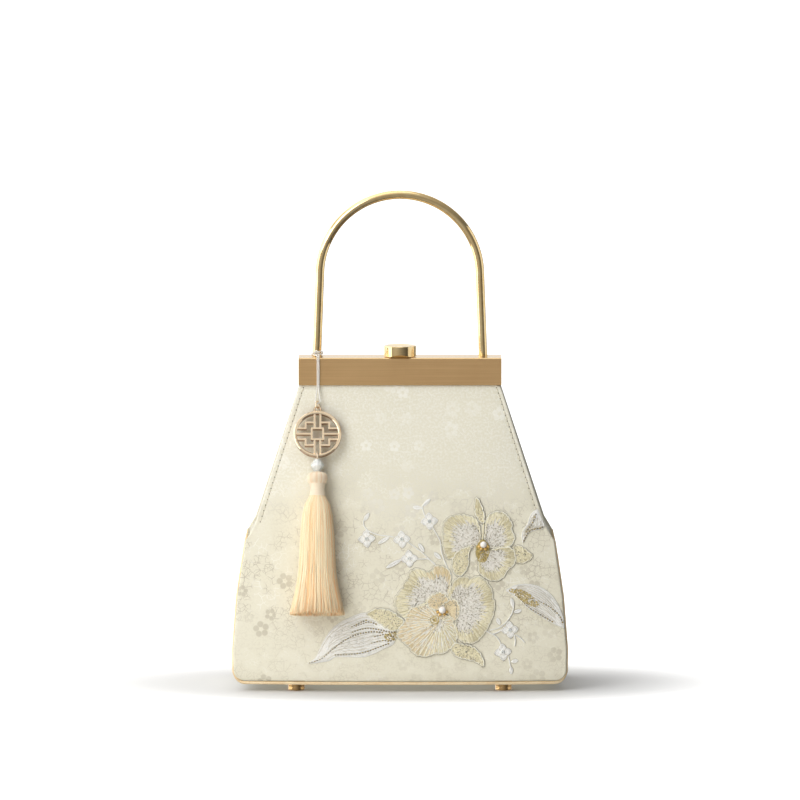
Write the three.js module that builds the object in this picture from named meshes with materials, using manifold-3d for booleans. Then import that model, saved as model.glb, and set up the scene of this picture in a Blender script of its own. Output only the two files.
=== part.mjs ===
// Trapezoid brocade handbag: a sewn body on four feet, closed by a metal box frame with a thumb clasp,
// carried by a bow handle, with a tassel charm hanging on the face.
// Millimetres, +Z up, the face looks along -Y. The origin is on the table under the middle of the body.
import * as THREE from "three";
import { mergeVertices } from "three/addons/utils/BufferGeometryUtils.js";
import Module from "manifold-3d";

const wasm = await Module();
wasm.setup();

// Driving dimensions

const GAP = 0.3; // clearance between neighbouring pieces
const WALL = 1.6; // covered board of the face and back panels

const FRAME = { length: 127.5, depth: 22, bottom: 190.1, top: 207.4, sheet: 1.2, edgeRadius: 1 };
const FACE = {
  bottom: 6.8, // lower edge of the face panel
  tuckedTop: 200.1, // upper edge, held inside the frame
  tuckedHalfWidth: 60.5,
  topHalfDepth: 9.5, // middle of the face, at the frame
  baseHalfDepth: 43.4, // middle of the face, at the base
  bulge: 7.8, // how far the face swells past the straight line between them
  crown: 4.6, // how far the side edges lie behind the middle
  crownPower: 2.4,
  cornerRadius: 6.8, // lower corners, seen from the front
  cornerSteps: 6,
  edgeStep: 16, // longest run between points of the lower edge
  tuck: 1.6, // roll of the lower edge towards the base
};
// Half width of the face panel by height: the frame, the stitched upper edge, the shoulder
// where the gusset comes out, and the bowed lower side down to the corner.
const OUTLINE = [
  { z: 16.8, halfWidth: 104.3 },
  { z: 26, halfWidth: 104.5 },
  { z: 60, halfWidth: 101.8 },
  { z: 94.5, halfWidth: 96.6 },
  { z: 103.5, halfWidth: 91.3 },
  { z: 189.4, halfWidth: 63.3 },
  { z: FRAME.bottom, halfWidth: FACE.tuckedHalfWidth },
  { z: FACE.tuckedTop, halfWidth: FACE.tuckedHalfWidth },
];

const GUSSET = { thickness: 2.2, sideInset: 1.5, baseInset: 0.3, top: 195.1, valleyPower: 1.4 };
// Depth of the inward fold in the middle of the gusset, by height.
const GUSSET_FOLD = [
  { z: 7, fold: 0.2 },
  { z: 70, fold: 0.6 },
  { z: 95, fold: 3.2 },
  { z: 120, fold: 11 },
  { z: 150, fold: 16 },
  { z: GUSSET.top, fold: 13 },
];

const PIPING = { radius: 1.1, top: 94.5, sides: 6, besideFrom: 0.9 };
const BASE = { bottom: 7.1, thickness: 2 };
const FOOT = { radius: 5.3, height: BASE.bottom - GAP, x: 65, y: 31, soleBevel: 0.5, neck: 1.1, sides: 14 };

const HINGE = {
  z: 196.1,
  earRadius: 5,
  earGap: GAP + 0.05, // between the ears of the two halves
  pinRadius: 1.6,
  tailRadius: 2.8,
  tailLength: 1,
  webFront: -8.5, // the web that ties an inner ear to the front half
  webRear: -5.8,
  webHalfHeight: 4,
};
const HANDLE = {
  radius: 2.75,
  archRadius: 50.3,
  archCentreZ: 258.5,
  splay: 2.15,
  y: 5.5,
  foot: FRAME.top - 2.5,
  sides: 12,
  steps: 30,
};
const CLASP = {
  radius: 10.2,
  height: 6.9,
  y: -3.4,
  dish: 0.9, // hollow of the top for the thumb
  rim: 0.5,
  edge: 0.3,
  bridgeFront: 4, // where the bridge to the knuckle starts
  reliefRise: 1.5, // the overhanging lip is cut up by this much under its front
  pivotY: 7.8,
  pivotZ: FRAME.top + 2.2,
  knuckleRadius: 1.85,
  earHalfDepth: 1.6,
  knuckleHalfWidth: 4.2,
  earThickness: 1.5,
  pinRadius: 0.8,
  tongue: { halfWidth: 3.5, yFront: -7.2, yRear: -5.6, depth: 2.4, slotGap: 1 },
};

const CHARM = { x: -51.7, medallionZ: 160.5, standOff: 5.6, lean: 7 };
const MEDALLION = { radius: 15, rim: 2, thickness: 4, bar: 1.2, barThickness: 3, edge: 0.5 };
const LUG = { radius: 2, wire: 0.6, above: 1.3 };
const JUMP_RING = { radius: 2.3, wire: 0.45, above: 4.4, turn: 22 };
const BEAD = { radius: 4.3, height: 7.6, bore: 0.95, belt: 0.8, tableRadius: 2.2, drop: 6.2, sides: 10 };
const TASSEL = {
  loop: { alongZ: 1.9, alongY: 3.5, thread: 0.6 },
  headTop: -10.3,
  bottom: -98.5,
  headShare: 0.92, // share of the round section kept behind and before the axis: at the head,
  backShare: 0.4, // behind the fringe, where it lies on the face,
  frontShare: 0.75, // and before it
  flatFrom: 26,
  flatTo: 59,
  coreSides: 14,
  locks: 12,
  lockSides: 6,
  uneven: 1.1, // how far the ends of the locks differ
  restGap: 0.5,
};
// Head, binding and core of the tassel, from the top down: height below the loop, and radius.
const TASSEL_CORE = [
  { z: TASSEL.headTop, radius: 2.2 },
  { z: -11.5, radius: 5.2 },
  { z: -14.1, radius: 6.2 },
  { z: -16.9, radius: 5.6 },
  { z: -17.9, radius: 4.6 },
  { z: -24.6, radius: 4.4 },
  { z: -26.1, radius: 5.8 },
  { z: -40, radius: 8.3 },
  { z: -73, radius: 9.9 },
  { z: -96, radius: 14.2 },
];
// One lock of the fringe: height below the loop, distance of its middle from the axis, half thickness.
const LOCK = [
  { z: -25.5, reach: 4.3, half: 1.6 },
  { z: -38, reach: 7.3, half: 2.3 },
  { z: -72, reach: 9.1, half: 2.6 },
  { z: -86, reach: 11.3, half: 3 },
  { z: TASSEL.bottom, reach: 13.9, half: 3.5 },
];

const CORD = {
  radius: 0.4,
  sides: 6,
  steps: 62,
  legGap: 0.25,
  faceGap: GAP + 0.05,
  downX: -50.9, // the strand that runs down to the jump ring
  upX: -51.9, // and the one that comes back up
};
const PEARLS = [
  { name: "pearl_upper", x: 52.1, z: 92.1, radius: 2.1 },
  { name: "pearl_lower", x: 26.4, z: 51.9, radius: 2.3 },
];
const PEARL_LIFT = 0.7; // thread under a pearl

// Finishes

const finish = (color, roughness, metalness) =>
  new THREE.MeshStandardMaterial({ color, roughness, metalness });
const BROCADE = finish(0xe6e0cb, 0.55, 0);
const GOLD_LEATHER = finish(0xd5c19b, 0.4, 0.2);
const BRUSHED_GOLD = finish(0xad8d63, 0.42, 1);
const POLISHED_GOLD = finish(0xc9ab78, 0.18, 1);
const PALE_GOLD = finish(0xc8a67c, 0.28, 1);
const SILK = finish(0xeccea7, 0.5, 0);
const THREAD = finish(0xf6f1e4, 0.7, 0);
const OPAL = finish(0xe9ebe8, 0.12, 0);
const PEARL = finish(0xf4eee6, 0.22, 0);

// Geometry helpers

// The value of a column at height z, by straight lines between the rows of a table.
function columnAt(table, column, z) {
  const upper = table.findIndex((row) => row.z >= z);
  if (upper === 0) return table[0][column];
  if (upper < 0) return table[table.length - 1][column];
  const [low, high] = [table[upper - 1], table[upper]];
  return THREE.MathUtils.mapLinear(z, low.z, high.z, low[column], high[column]);
}

// A closed mesh as a solid that can be cut and joined.
function solid(geometry) {
  const bare = new THREE.BufferGeometry().setAttribute("position", geometry.getAttribute("position").clone());
  if (geometry.index) bare.setIndex(geometry.index.clone());
  const merged = mergeVertices(bare, 1e-4);
  const triVerts = Uint32Array.from(merged.index.array);
  const build = () =>
    new wasm.Manifold(
      new wasm.Mesh({ numProp: 3, vertProperties: merged.attributes.position.array, triVerts }),
    );
  const made = build();
  if (made.volume() > 0) return made;
  for (let i = 0; i < triVerts.length; i += 3) {
    [triVerts[i + 1], triVerts[i + 2]] = [triVerts[i + 2], triVerts[i + 1]];
  }
  return build();
}

// A solid as a geometry with flat faces.
function geometryOf(made) {
  const { vertProperties, triVerts } = made.getMesh();
  const geometry = new THREE.BufferGeometry();
  geometry.setAttribute("position", new THREE.BufferAttribute(vertProperties, 3));
  geometry.setIndex(new THREE.BufferAttribute(triVerts, 1));
  const flat = geometry.toNonIndexed();
  flat.computeVertexNormals();
  return flat;
}

// A geometry from four-cornered faces, each a list of points in order round its outside.
function fromQuads(quads) {
  const position = quads.flatMap(([a, b, c, d]) => [a, b, c, a, c, d].flatMap((p) => p.toArray()));
  return new THREE.BufferGeometry().setAttribute("position", new THREE.Float32BufferAttribute(position, 3));
}

// A sheet with a thickness: two grids of points, rows by columns, closed along their four edges.
function wall(outer, inner) {
  const quads = [];
  const [rows, columns] = [outer.length - 1, outer[0].length - 1];
  for (let r = 0; r < rows; r++) {
    for (let c = 0; c < columns; c++) {
      quads.push([outer[r][c], outer[r][c + 1], outer[r + 1][c + 1], outer[r + 1][c]]);
      quads.push([inner[r][c], inner[r + 1][c], inner[r + 1][c + 1], inner[r][c + 1]]);
    }
    quads.push([outer[r][0], outer[r + 1][0], inner[r + 1][0], inner[r][0]]);
    quads.push([outer[r + 1][columns], outer[r][columns], inner[r][columns], inner[r + 1][columns]]);
  }
  for (let c = 0; c < columns; c++) {
    quads.push([outer[0][c + 1], outer[0][c], inner[0][c], inner[0][c + 1]]);
    quads.push([outer[rows][c], outer[rows][c + 1], inner[rows][c + 1], inner[rows][c]]);
  }
  return geometryOf(solid(fromQuads(quads)));
}

// A solid through rings of points, closed at both ends by a fan to the middle of the ring.
function throughRings(rings) {
  const quads = [];
  const next = (ring, i) => ring[(i + 1) % ring.length];
  for (let r = 0; r + 1 < rings.length; r++) {
    rings[r].forEach((p, i) => quads.push([p, next(rings[r], i), next(rings[r + 1], i), rings[r + 1][i]]));
  }
  for (const [ring, turned] of [[rings[0], true], [rings.at(-1), false]]) {
    const middle = ring.reduce((sum, p) => sum.add(p), new THREE.Vector3()).divideScalar(ring.length);
    ring.forEach((p, i) => {
      const [a, b] = turned ? [next(ring, i), p] : [p, next(ring, i)];
      quads.push([a, b, middle, middle]);
    });
  }
  const triangles = quads.flatMap(([a, b, c, d]) => (c === d ? [[a, b, c]] : [[a, b, c], [a, c, d]]));
  const position = triangles.flatMap((t) => t.flatMap((p) => p.toArray()));
  return new THREE.BufferGeometry().setAttribute("position", new THREE.Float32BufferAttribute(position, 3));
}

function box([x0, x1], [y0, y1], [z0, z1]) {
  const block = new THREE.BoxGeometry(x1 - x0, y1 - y0, z1 - z0);
  return solid(block.translate((x0 + x1) / 2, (y0 + y1) / 2, (z0 + z1) / 2));
}

// A round bar along X between two stations.
function barAlongX(radius, [x0, x1], y, z, sides = 18) {
  const bar = new THREE.CylinderGeometry(radius, radius, x1 - x0, sides).rotateZ(Math.PI / 2);
  return solid(bar.translate((x0 + x1) / 2, y, z));
}

// A round bar of constant thickness along a curve, closed at both ends.
function tube(curve, radius, sides, steps) {
  const section = new THREE.Shape();
  section.absarc(0, 0, radius, 0, 2 * Math.PI);
  const swept = new THREE.ExtrudeGeometry(section, {
    steps,
    extrudePath: curve,
    curveSegments: sides / 2,
    bevelEnabled: false,
  });
  return solid(swept);
}

// A turned solid about Z from a profile of radius and height.
function turned(profile, sides) {
  const points = profile.map(([radius, z]) => new THREE.Vector2(radius, z));
  return solid(new THREE.LatheGeometry(points, sides).rotateX(Math.PI / 2));
}

// Body surfaces

// Half width of the face panel at a height, with its rounded lower corner.
function halfWidthAt(z) {
  const arcTop = FACE.bottom + FACE.cornerRadius;
  if (z >= arcTop) return columnAt(OUTLINE, "halfWidth", z);
  const below = arcTop - z;
  const radius = FACE.cornerRadius;
  return OUTLINE[0].halfWidth - radius + Math.sqrt(Math.max(0, radius * radius - below * below));
}

// How far the outer skin of the face stands in front of the middle plane.
function faceDepth(x, z) {
  if (z >= FRAME.bottom) return FACE.topHalfDepth;
  const rise = (z - FACE.bottom) / (FRAME.bottom - FACE.bottom);
  const straight = THREE.MathUtils.lerp(FACE.baseHalfDepth, FACE.topHalfDepth, rise);
  const swell = FACE.bulge * Math.sin(Math.PI * rise);
  const across = Math.min(1, Math.abs(x) / halfWidthAt(z));
  const fallBack = FACE.crown * (1 - rise ** 3) * across ** FACE.crownPower;
  const roll = Math.max(0, 1 - (z - FACE.bottom) / FACE.cornerRadius);
  return straight + swell - fallBack - FACE.tuck * roll * roll;
}

// Heights of the rows of the body's panels: close together round the lower corner, then even.
function bodyHeights(top) {
  const arc = [0, 0.25, 0.5, 0.75, 1].map(
    (t) => FACE.bottom + FACE.cornerRadius * (1 - Math.cos((t * Math.PI) / 2)),
  );
  const sides = [26, 37, 48, 60, 73, 86, 98, 106, 120, 134, 148, 162, 176, 186, 190.3, 191, top];
  return [...arc, ...sides];
}

function facePanel() {
  const columns = 10;
  const grid = (inward) =>
    bodyHeights(FACE.tuckedTop).map((z) =>
      Array.from({ length: columns + 1 }, (_, c) => {
        const x = halfWidthAt(z) * Math.sin((Math.PI / 2) * ((2 * c) / columns - 1));
        return new THREE.Vector3(x, inward - faceDepth(x, z), z);
      }),
    );
  return wall(grid(0), grid(WALL));
}

// Points round the panel's outline on the +X side, from the middle of the lower edge up to a height,
// each with the direction that points out of the panel.
function outlineFrom(x0, top) {
  const centre = { x: OUTLINE[0].halfWidth - FACE.cornerRadius, z: FACE.bottom + FACE.cornerRadius };
  const points = [];
  const flatSteps = Math.max(1, Math.ceil((centre.x - x0) / FACE.edgeStep));
  for (let i = 0; i < flatSteps; i++) {
    points.push({ x: THREE.MathUtils.lerp(x0, centre.x, i / flatSteps), z: FACE.bottom, outX: 0, outZ: -1 });
  }
  for (let i = 0; i <= FACE.cornerSteps; i++) {
    const turn = ((i / FACE.cornerSteps) * Math.PI) / 2;
    const [outX, outZ] = [Math.sin(turn), -Math.cos(turn)];
    points.push({
      x: centre.x + FACE.cornerRadius * outX,
      z: centre.z + FACE.cornerRadius * outZ,
      outX,
      outZ,
    });
  }
  for (const z of bodyHeights(top).filter((height) => height > centre.z + 1 && height <= top)) {
    points.push({ x: halfWidthAt(z), z, outX: 1, outZ: 0 });
  }
  return points;
}

// The side wall on +X. It butts on the base, rounds the corner, and folds inwards above the shoulder.
function gusset() {
  const columns = 6;
  const cornerX = OUTLINE[0].halfWidth - FACE.cornerRadius;
  const stations = outlineFrom(cornerX, GUSSET.top).slice(1);
  const grid = (inward) =>
    stations.map((station) => {
      const inset = THREE.MathUtils.lerp(GUSSET.baseInset, GUSSET.sideInset, station.outX) + inward;
      const fold = columnAt(GUSSET_FOLD, "fold", station.z) * station.outX;
      const halfDepth = faceDepth(halfWidthAt(station.z), station.z) - WALL - GAP;
      return Array.from({ length: columns + 1 }, (_, c) => {
        const across = (2 * c) / columns - 1;
        const valley = fold * (1 - Math.abs(across) ** GUSSET.valleyPower);
        const x = station.x - inset * station.outX - valley;
        return new THREE.Vector3(x, halfDepth * across, station.z - inset * station.outZ);
      });
    });
  return wall(grid(0), grid(GUSSET.thickness));
}

// A flat board between the two gussets, following the inner faces of the panels.
function basePanel() {
  const halfLength = OUTLINE[0].halfWidth - FACE.cornerRadius - GAP;
  const steps = 12;
  const front = Array.from({ length: steps + 1 }, (_, i) => {
    const x = halfLength * ((2 * i) / steps - 1);
    return new THREE.Vector2(x, -(faceDepth(x, FACE.bottom) - WALL - GAP));
  });
  const back = front.map((p) => new THREE.Vector2(-p.x, -p.y));
  const board = new THREE.ExtrudeGeometry(new THREE.Shape([...front, ...back]), {
    depth: BASE.thickness,
    bevelEnabled: false,
  });
  return board.translate(0, 0, BASE.bottom);
}

// The welt behind the edge of the face: beside it up the lower sides, and under it along the base.
function piping() {
  const clear = PIPING.radius + GAP;
  const ringAt = ({ x, z, outX, outZ }, side) => {
    const roll = (1 - Math.min(1, outX / PIPING.besideFrom)) * (Math.PI / 2);
    const behind = WALL + clear * Math.cos(roll);
    const beyond = clear * Math.sin(roll);
    const depth = faceDepth(Math.min(x, halfWidthAt(z)), z);
    return Array.from({ length: PIPING.sides }, (_, i) => {
      const turn = (2 * Math.PI * i) / PIPING.sides;
      const out = beyond + PIPING.radius * Math.cos(turn);
      const y = behind - depth + PIPING.radius * Math.sin(turn);
      return new THREE.Vector3(side * (x + outX * out), y, z + outZ * out);
    });
  };
  const stations = outlineFrom(0, PIPING.top);
  const left = stations.slice(1).reverse();
  const rings = [
    ...left.map((station) => ringAt(station, -1)),
    ...stations.map((station) => ringAt(station, 1)),
  ];
  return geometryOf(solid(throughRings(rings)));
}

function foot() {
  const { radius, height, soleBevel, neck, sides } = FOOT;
  return geometryOf(
    turned(
      [
        [0, 0],
        [radius - soleBevel, 0],
        [radius, soleBevel],
        [radius, height - neck],
        [radius - neck, height],
        [0, height],
      ],
      sides,
    ),
  );
}

// Frame

// One half of the box frame, in front of the middle plane: folded sheet with two end walls.
function frameHalf() {
  const { length, depth, bottom, top, sheet, edgeRadius } = FRAME;
  const [front, middle] = [-depth / 2, -GAP / 2];
  const outside = new THREE.Shape();
  outside.moveTo(front, bottom);
  outside.lineTo(front, top - edgeRadius);
  outside.absarc(front + edgeRadius, top - edgeRadius, edgeRadius, Math.PI, Math.PI / 2, true);
  outside.lineTo(middle, top);
  outside.lineTo(middle, bottom);
  const block = new THREE.ExtrudeGeometry(outside, { depth: length, bevelEnabled: false, curveSegments: 4 });
  block.applyMatrix4(new THREE.Matrix4().makeBasis(
    new THREE.Vector3(0, 1, 0),
    new THREE.Vector3(0, 0, 1),
    new THREE.Vector3(1, 0, 0),
  ));
  const whole = solid(block.translate(-length / 2, 0, 0));
  const halfInside = length / 2 - sheet;
  return whole.subtract(box([-halfInside, halfInside], [front + sheet, 1], [bottom - 1, top - sheet]));
}

const PAST = 1; // how far a cut runs on past what it cuts
const earDisc = (radius, x0, x1) => barAlongX(radius, [x0, x1], 0, HINGE.z);
// A span along X on the right (1) or left (-1) side, given from the middle outwards.
const span = (side, inner, outer) => (side > 0 ? [inner, outer] : [-outer, -inner]);

// The front half: its hinge ears lie inside those of the rear half, and its top is slotted for the latch.
function frameFront() {
  const end = FRAME.length / 2;
  const earOuter = end - FRAME.sheet - HINGE.earGap;
  const earInner = earOuter - FRAME.sheet;
  const webHeights = [HINGE.z - HINGE.webHalfHeight, HINGE.z + HINGE.webHalfHeight];
  let half = frameHalf();
  for (const side of [1, -1]) {
    half = half
      .subtract(earDisc(HINGE.earRadius + GAP, ...span(side, end - FRAME.sheet - GAP, end + PAST)))
      .add(earDisc(HINGE.earRadius, ...span(side, earInner, earOuter)))
      .add(box(span(side, earInner, earOuter), [HINGE.webFront, 0], webHeights))
      .add(box(span(side, earInner, end - FRAME.sheet / 2), [HINGE.webFront, HINGE.webRear], webHeights))
      .subtract(earDisc(HINGE.pinRadius + GAP, ...span(side, earInner - PAST, end + PAST)));
  }
  const { halfWidth, yFront, yRear, slotGap } = CLASP.tongue;
  const slot = box(
    [-halfWidth - slotGap, halfWidth + slotGap],
    [yFront - slotGap, yRear + slotGap],
    [FRAME.top - FRAME.sheet - PAST, FRAME.top + PAST],
  );
  return geometryOf(half.subtract(slot));
}

// Where the middle of a handle leg is, at a height.
function handleLegX(z) {
  const splay = THREE.MathUtils.degToRad(HANDLE.splay);
  const legTop = HANDLE.archCentreZ + HANDLE.archRadius * Math.sin(splay);
  return HANDLE.archRadius * Math.cos(splay) + (legTop - z) * Math.tan(splay);
}

// The rear half: outer hinge ears, holes for the handle, and the ears that carry the clasp.
function frameRear() {
  const end = FRAME.length / 2;
  let half = frameHalf().rotate([0, 0, 180]);
  const { pivotY, pivotZ, knuckleRadius, pinRadius, earHalfDepth } = CLASP;
  const earInner = CLASP.knuckleHalfWidth + GAP;
  const earOuter = earInner + CLASP.earThickness;
  const holeRadius = HANDLE.radius + GAP;
  for (const side of [1, -1]) {
    const hole = new THREE.CylinderGeometry(holeRadius, holeRadius, 4 * FRAME.sheet, 16).rotateX(Math.PI / 2);
    hole.translate(side * handleLegX(FRAME.top - FRAME.sheet / 2), HANDLE.y, FRAME.top);
    const ear = span(side, earInner, earOuter);
    half = half
      .add(earDisc(HINGE.earRadius, ...span(side, end - FRAME.sheet, end)))
      .subtract(earDisc(HINGE.pinRadius + GAP, ...span(side, end - FRAME.sheet - PAST, end + PAST)))
      .subtract(solid(hole))
      .add(barAlongX(knuckleRadius, ear, pivotY, pivotZ, 16))
      .add(box(ear, [pivotY - earHalfDepth, pivotY + earHalfDepth], [FRAME.top - FRAME.sheet / 2, pivotZ]))
      .subtract(barAlongX(pinRadius + GAP, span(side, 0, earOuter + PAST), pivotY, pivotZ, 12));
  }
  return geometryOf(half);
}

// A plain flush rivet through the ears at the +X end.
function hingePin() {
  const end = FRAME.length / 2;
  const tail = end - 2 * FRAME.sheet - HINGE.earGap - 2 * GAP;
  return geometryOf(
    barAlongX(HINGE.pinRadius, [tail - HINGE.tailLength, end], 0, HINGE.z, 16).add(
      barAlongX(HINGE.tailRadius, [tail - HINGE.tailLength, tail], 0, HINGE.z, 16),
    ),
  );
}

// Handle

// Down one leg, over the round arch and down the other leg.
class BowCurve extends THREE.Curve {
  constructor() {
    super();
    this.splay = THREE.MathUtils.degToRad(HANDLE.splay);
    this.legTop = HANDLE.archCentreZ + HANDLE.archRadius * Math.sin(this.splay);
    this.leg = (this.legTop - HANDLE.foot) / Math.cos(this.splay);
    this.arch = HANDLE.archRadius * (Math.PI - 2 * this.splay);
  }
  getPoint(t, target = new THREE.Vector3()) {
    const along = t * (2 * this.leg + this.arch);
    const fromMiddle = along - this.leg - this.arch / 2;
    if (Math.abs(fromMiddle) <= this.arch / 2) {
      const turn = fromMiddle / HANDLE.archRadius;
      const z = HANDLE.archCentreZ + HANDLE.archRadius * Math.cos(turn);
      return target.set(HANDLE.archRadius * Math.sin(turn), HANDLE.y, z);
    }
    const down = (Math.abs(fromMiddle) - this.arch / 2) * Math.cos(this.splay);
    const z = this.legTop - down;
    return target.set(Math.sign(fromMiddle) * handleLegX(z), HANDLE.y, z);
  }
}

// Clasp

// A dished round lever. Its front lip overhangs the frame and is relieved underneath for the thumb;
// a tongue below it drops into the front half, and a knuckle behind it turns on the pin.
function claspLever() {
  const { radius, height, y, dish, rim, edge, reliefRise, pivotY, pivotZ, knuckleRadius } = CLASP;
  const { knuckleHalfWidth, bridgeFront, tongue } = CLASP;
  const [low, high] = [FRAME.top + GAP, FRAME.top + GAP + height];
  const dishSteps = 4;
  const dished = Array.from({ length: dishSteps + 1 }, (_, i) => {
    const share = i / dishSteps;
    return [(radius - rim) * share, high - dish * (1 - share * share)];
  });
  const flank = [[0, low], [radius - edge, low], [radius, low + edge], [radius, high - edge]];
  const disc = turned([...flank, ...dished.reverse()], 30);
  const overhang = radius - y - FRAME.depth / 2;
  const slope = Math.atan2(reliefRise, overhang);
  const wedge = new THREE.BoxGeometry(3 * radius, radius, radius);
  wedge.translate(0, -radius / 2, -radius / 2).rotateX(-slope);
  const relief = solid(wedge.translate(0, -FRAME.depth / 2, low));
  const knuckle = barAlongX(knuckleRadius, [-knuckleHalfWidth, knuckleHalfWidth], pivotY, pivotZ, 16);
  const bridge = box(
    [-knuckleHalfWidth, knuckleHalfWidth],
    [bridgeFront, pivotY],
    [low, pivotZ + knuckleRadius],
  );
  const boreEnd = knuckleHalfWidth + PAST;
  const pinBore = barAlongX(CLASP.pinRadius + GAP, [-boreEnd, boreEnd], pivotY, pivotZ, 12);
  const latch = box(
    [-tongue.halfWidth, tongue.halfWidth],
    [tongue.yFront, tongue.yRear],
    [FRAME.top - tongue.depth, low + dish],
  );
  return geometryOf(
    disc.translate([0, y, 0]).subtract(relief).add(bridge).add(knuckle).subtract(pinBore).add(latch),
  );
}

function claspPin() {
  const reach = CLASP.knuckleHalfWidth + GAP + CLASP.earThickness;
  return geometryOf(barAlongX(CLASP.pinRadius, [-reach, reach], CLASP.pivotY, CLASP.pivotZ, 12));
}

// Charm

// A round link in the local XZ plane.
const link = (radius, wire, sides = 14) =>
  new THREE.TorusGeometry(radius, wire, 6, sides).rotateX(Math.PI / 2);

// A round rim with an eyelet on top and a pierced fret of straight bars, the same in all four quarters.
function medallion() {
  const { radius, rim, thickness, bar, barThickness, edge } = MEDALLION;
  const half = thickness / 2;
  const inside = radius - rim;
  const profile = [
    [inside, -half + edge],
    [inside + edge, -half],
    [radius - edge, -half],
    [radius, -half + edge],
    [radius, half - edge],
    [radius - edge, half],
    [inside + edge, half],
    [inside, half - edge],
    [inside, -half + edge],
  ];
  const hoop = solid(new THREE.LatheGeometry(profile.map(([r, y]) => new THREE.Vector2(r, y)), 32));
  const quarter = [
    { name: "spine", x: [1.8, 1.8], z: [3.6, radius] },
    { name: "belt", x: [3.6, radius], z: [0, 0] },
    { name: "core side", x: [3.6, 3.6], z: [0, 3.6] },
    { name: "core top", x: [0, 3.6], z: [3.6, 3.6] },
    { name: "fret top", x: [1.8, 7.4], z: [7.4, 7.4] },
    { name: "fret side", x: [7.4, 7.4], z: [3.6, 7.4] },
    { name: "fret foot", x: [7.4, radius], z: [3.6, 3.6] },
  ];
  let fret = null;
  for (const { x, z } of quarter) {
    for (const [sideX, sideZ] of [[1, 1], [1, -1], [-1, 1], [-1, -1]]) {
      const across = x.map((value) => sideX * value).sort((a, b) => a - b);
      const up = z.map((value) => sideZ * value).sort((a, b) => a - b);
      const strip = box(
        [across[0] - bar / 2, across[1] + bar / 2],
        [-barThickness / 2, barThickness / 2],
        [up[0] - bar / 2, up[1] + bar / 2],
      );
      fret = fret ? fret.add(strip) : strip;
    }
  }
  const inRim = solid(new THREE.CylinderGeometry(radius - rim / 2, radius - rim / 2, thickness, 32));
  const eyelet = solid(link(LUG.radius, LUG.wire).translate(0, 0, radius + LUG.above));
  return geometryOf(hoop.add(fret.intersect(inRim)).add(eyelet));
}

function jumpRing() {
  const turn = Math.PI / 2 - THREE.MathUtils.degToRad(JUMP_RING.turn);
  const ring = link(JUMP_RING.radius, JUMP_RING.wire).rotateZ(turn);
  return ring.translate(0, 0, MEDALLION.radius + JUMP_RING.above);
}

// A faceted double cone with flat ends, drilled for the tassel's thread.
function bead() {
  const { radius, height, bore, belt, tableRadius, drop, sides } = BEAD;
  const half = height / 2;
  const profile = [
    [bore, -half],
    [tableRadius, -half],
    [radius, -belt / 2],
    [radius, belt / 2],
    [tableRadius, half],
    [bore, half],
    [bore, -half],
  ];
  return geometryOf(turned(profile, sides).translate([0, 0, -drop]));
}

// A ring of points round the vertical axis, or round a point beside it.
const ringOf = (radius, z, sides, x = 0, y = 0) =>
  Array.from({ length: sides }, (_, i) => {
    const turn = (2 * Math.PI * i) / sides;
    return new THREE.Vector3(x + radius * Math.cos(turn), y + radius * Math.sin(turn), z);
  });

// Share of the round section that is left at a height below the loop.
const sectionShare = (z, fringeShare) => {
  const fallen = THREE.MathUtils.smoothstep(-z, TASSEL.flatFrom, TASSEL.flatTo);
  return THREE.MathUtils.lerp(TASSEL.headShare, fringeShare, fallen);
};

// The tassel flattened where it lies on the face of the bag, its fringe falling back by droop at the end.
function draped(geometry, droop) {
  const position = geometry.getAttribute("position");
  for (let i = 0; i < position.count; i++) {
    const [y, z] = [position.getY(i), position.getZ(i)];
    const fallen = Math.max(0, (z + TASSEL.flatFrom) / (TASSEL.bottom + TASSEL.flatFrom));
    const share = sectionShare(z, y > 0 ? TASSEL.backShare : TASSEL.frontShare);
    position.setY(i, y * share + droop * fallen * fallen);
  }
  return geometry;
}

// Loop, stem, bound head and fringe in one: the fringe is a core with locks round it, uneven at the ends.
// Pockets closed in between the locks are filled.
function tassel(droop) {
  const { loop, headTop, bottom, locks, lockSides } = TASSEL;
  const coreRings = [...TASSEL_CORE].reverse().map(({ z, radius }) => ringOf(radius, z, TASSEL.coreSides));
  const core = throughRings(coreRings);
  let made = solid(draped(core, droop));
  for (let k = 0; k < locks; k++) {
    const turn = (2 * Math.PI * (k + 0.5)) / locks;
    const uneven = TASSEL.uneven * Math.sin(5 * k);
    const rings = [...LOCK].reverse().map(({ z, reach, half }) => {
      const end = z === bottom ? z + uneven : z;
      return ringOf(half, end, lockSides, reach * Math.cos(turn), reach * Math.sin(turn));
    });
    made = made.add(solid(draped(throughRings(rings), droop)));
  }
  const eye = new THREE.TorusGeometry(2, 1, 6, 20);
  const position = eye.getAttribute("position");
  for (let i = 0; i < position.count; i++) {
    const [x, y, side] = [position.getX(i), position.getY(i), position.getZ(i)];
    const turn = Math.atan2(y, x);
    const out = Math.hypot(x, y) - 2;
    position.setXYZ(
      i,
      side * loop.thread,
      (loop.alongY + out * loop.thread) * Math.cos(turn),
      (loop.alongZ + out * loop.thread) * Math.sin(turn),
    );
  }
  const stem = throughRings([ringOf(loop.thread, headTop - 1, 8), ringOf(loop.thread, -loop.alongZ, 8)]);
  const [outside] = made.add(solid(eye)).add(solid(stem)).decompose().sort((a, b) => b.volume() - a.volume());
  return geometryOf(outside);
}

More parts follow.
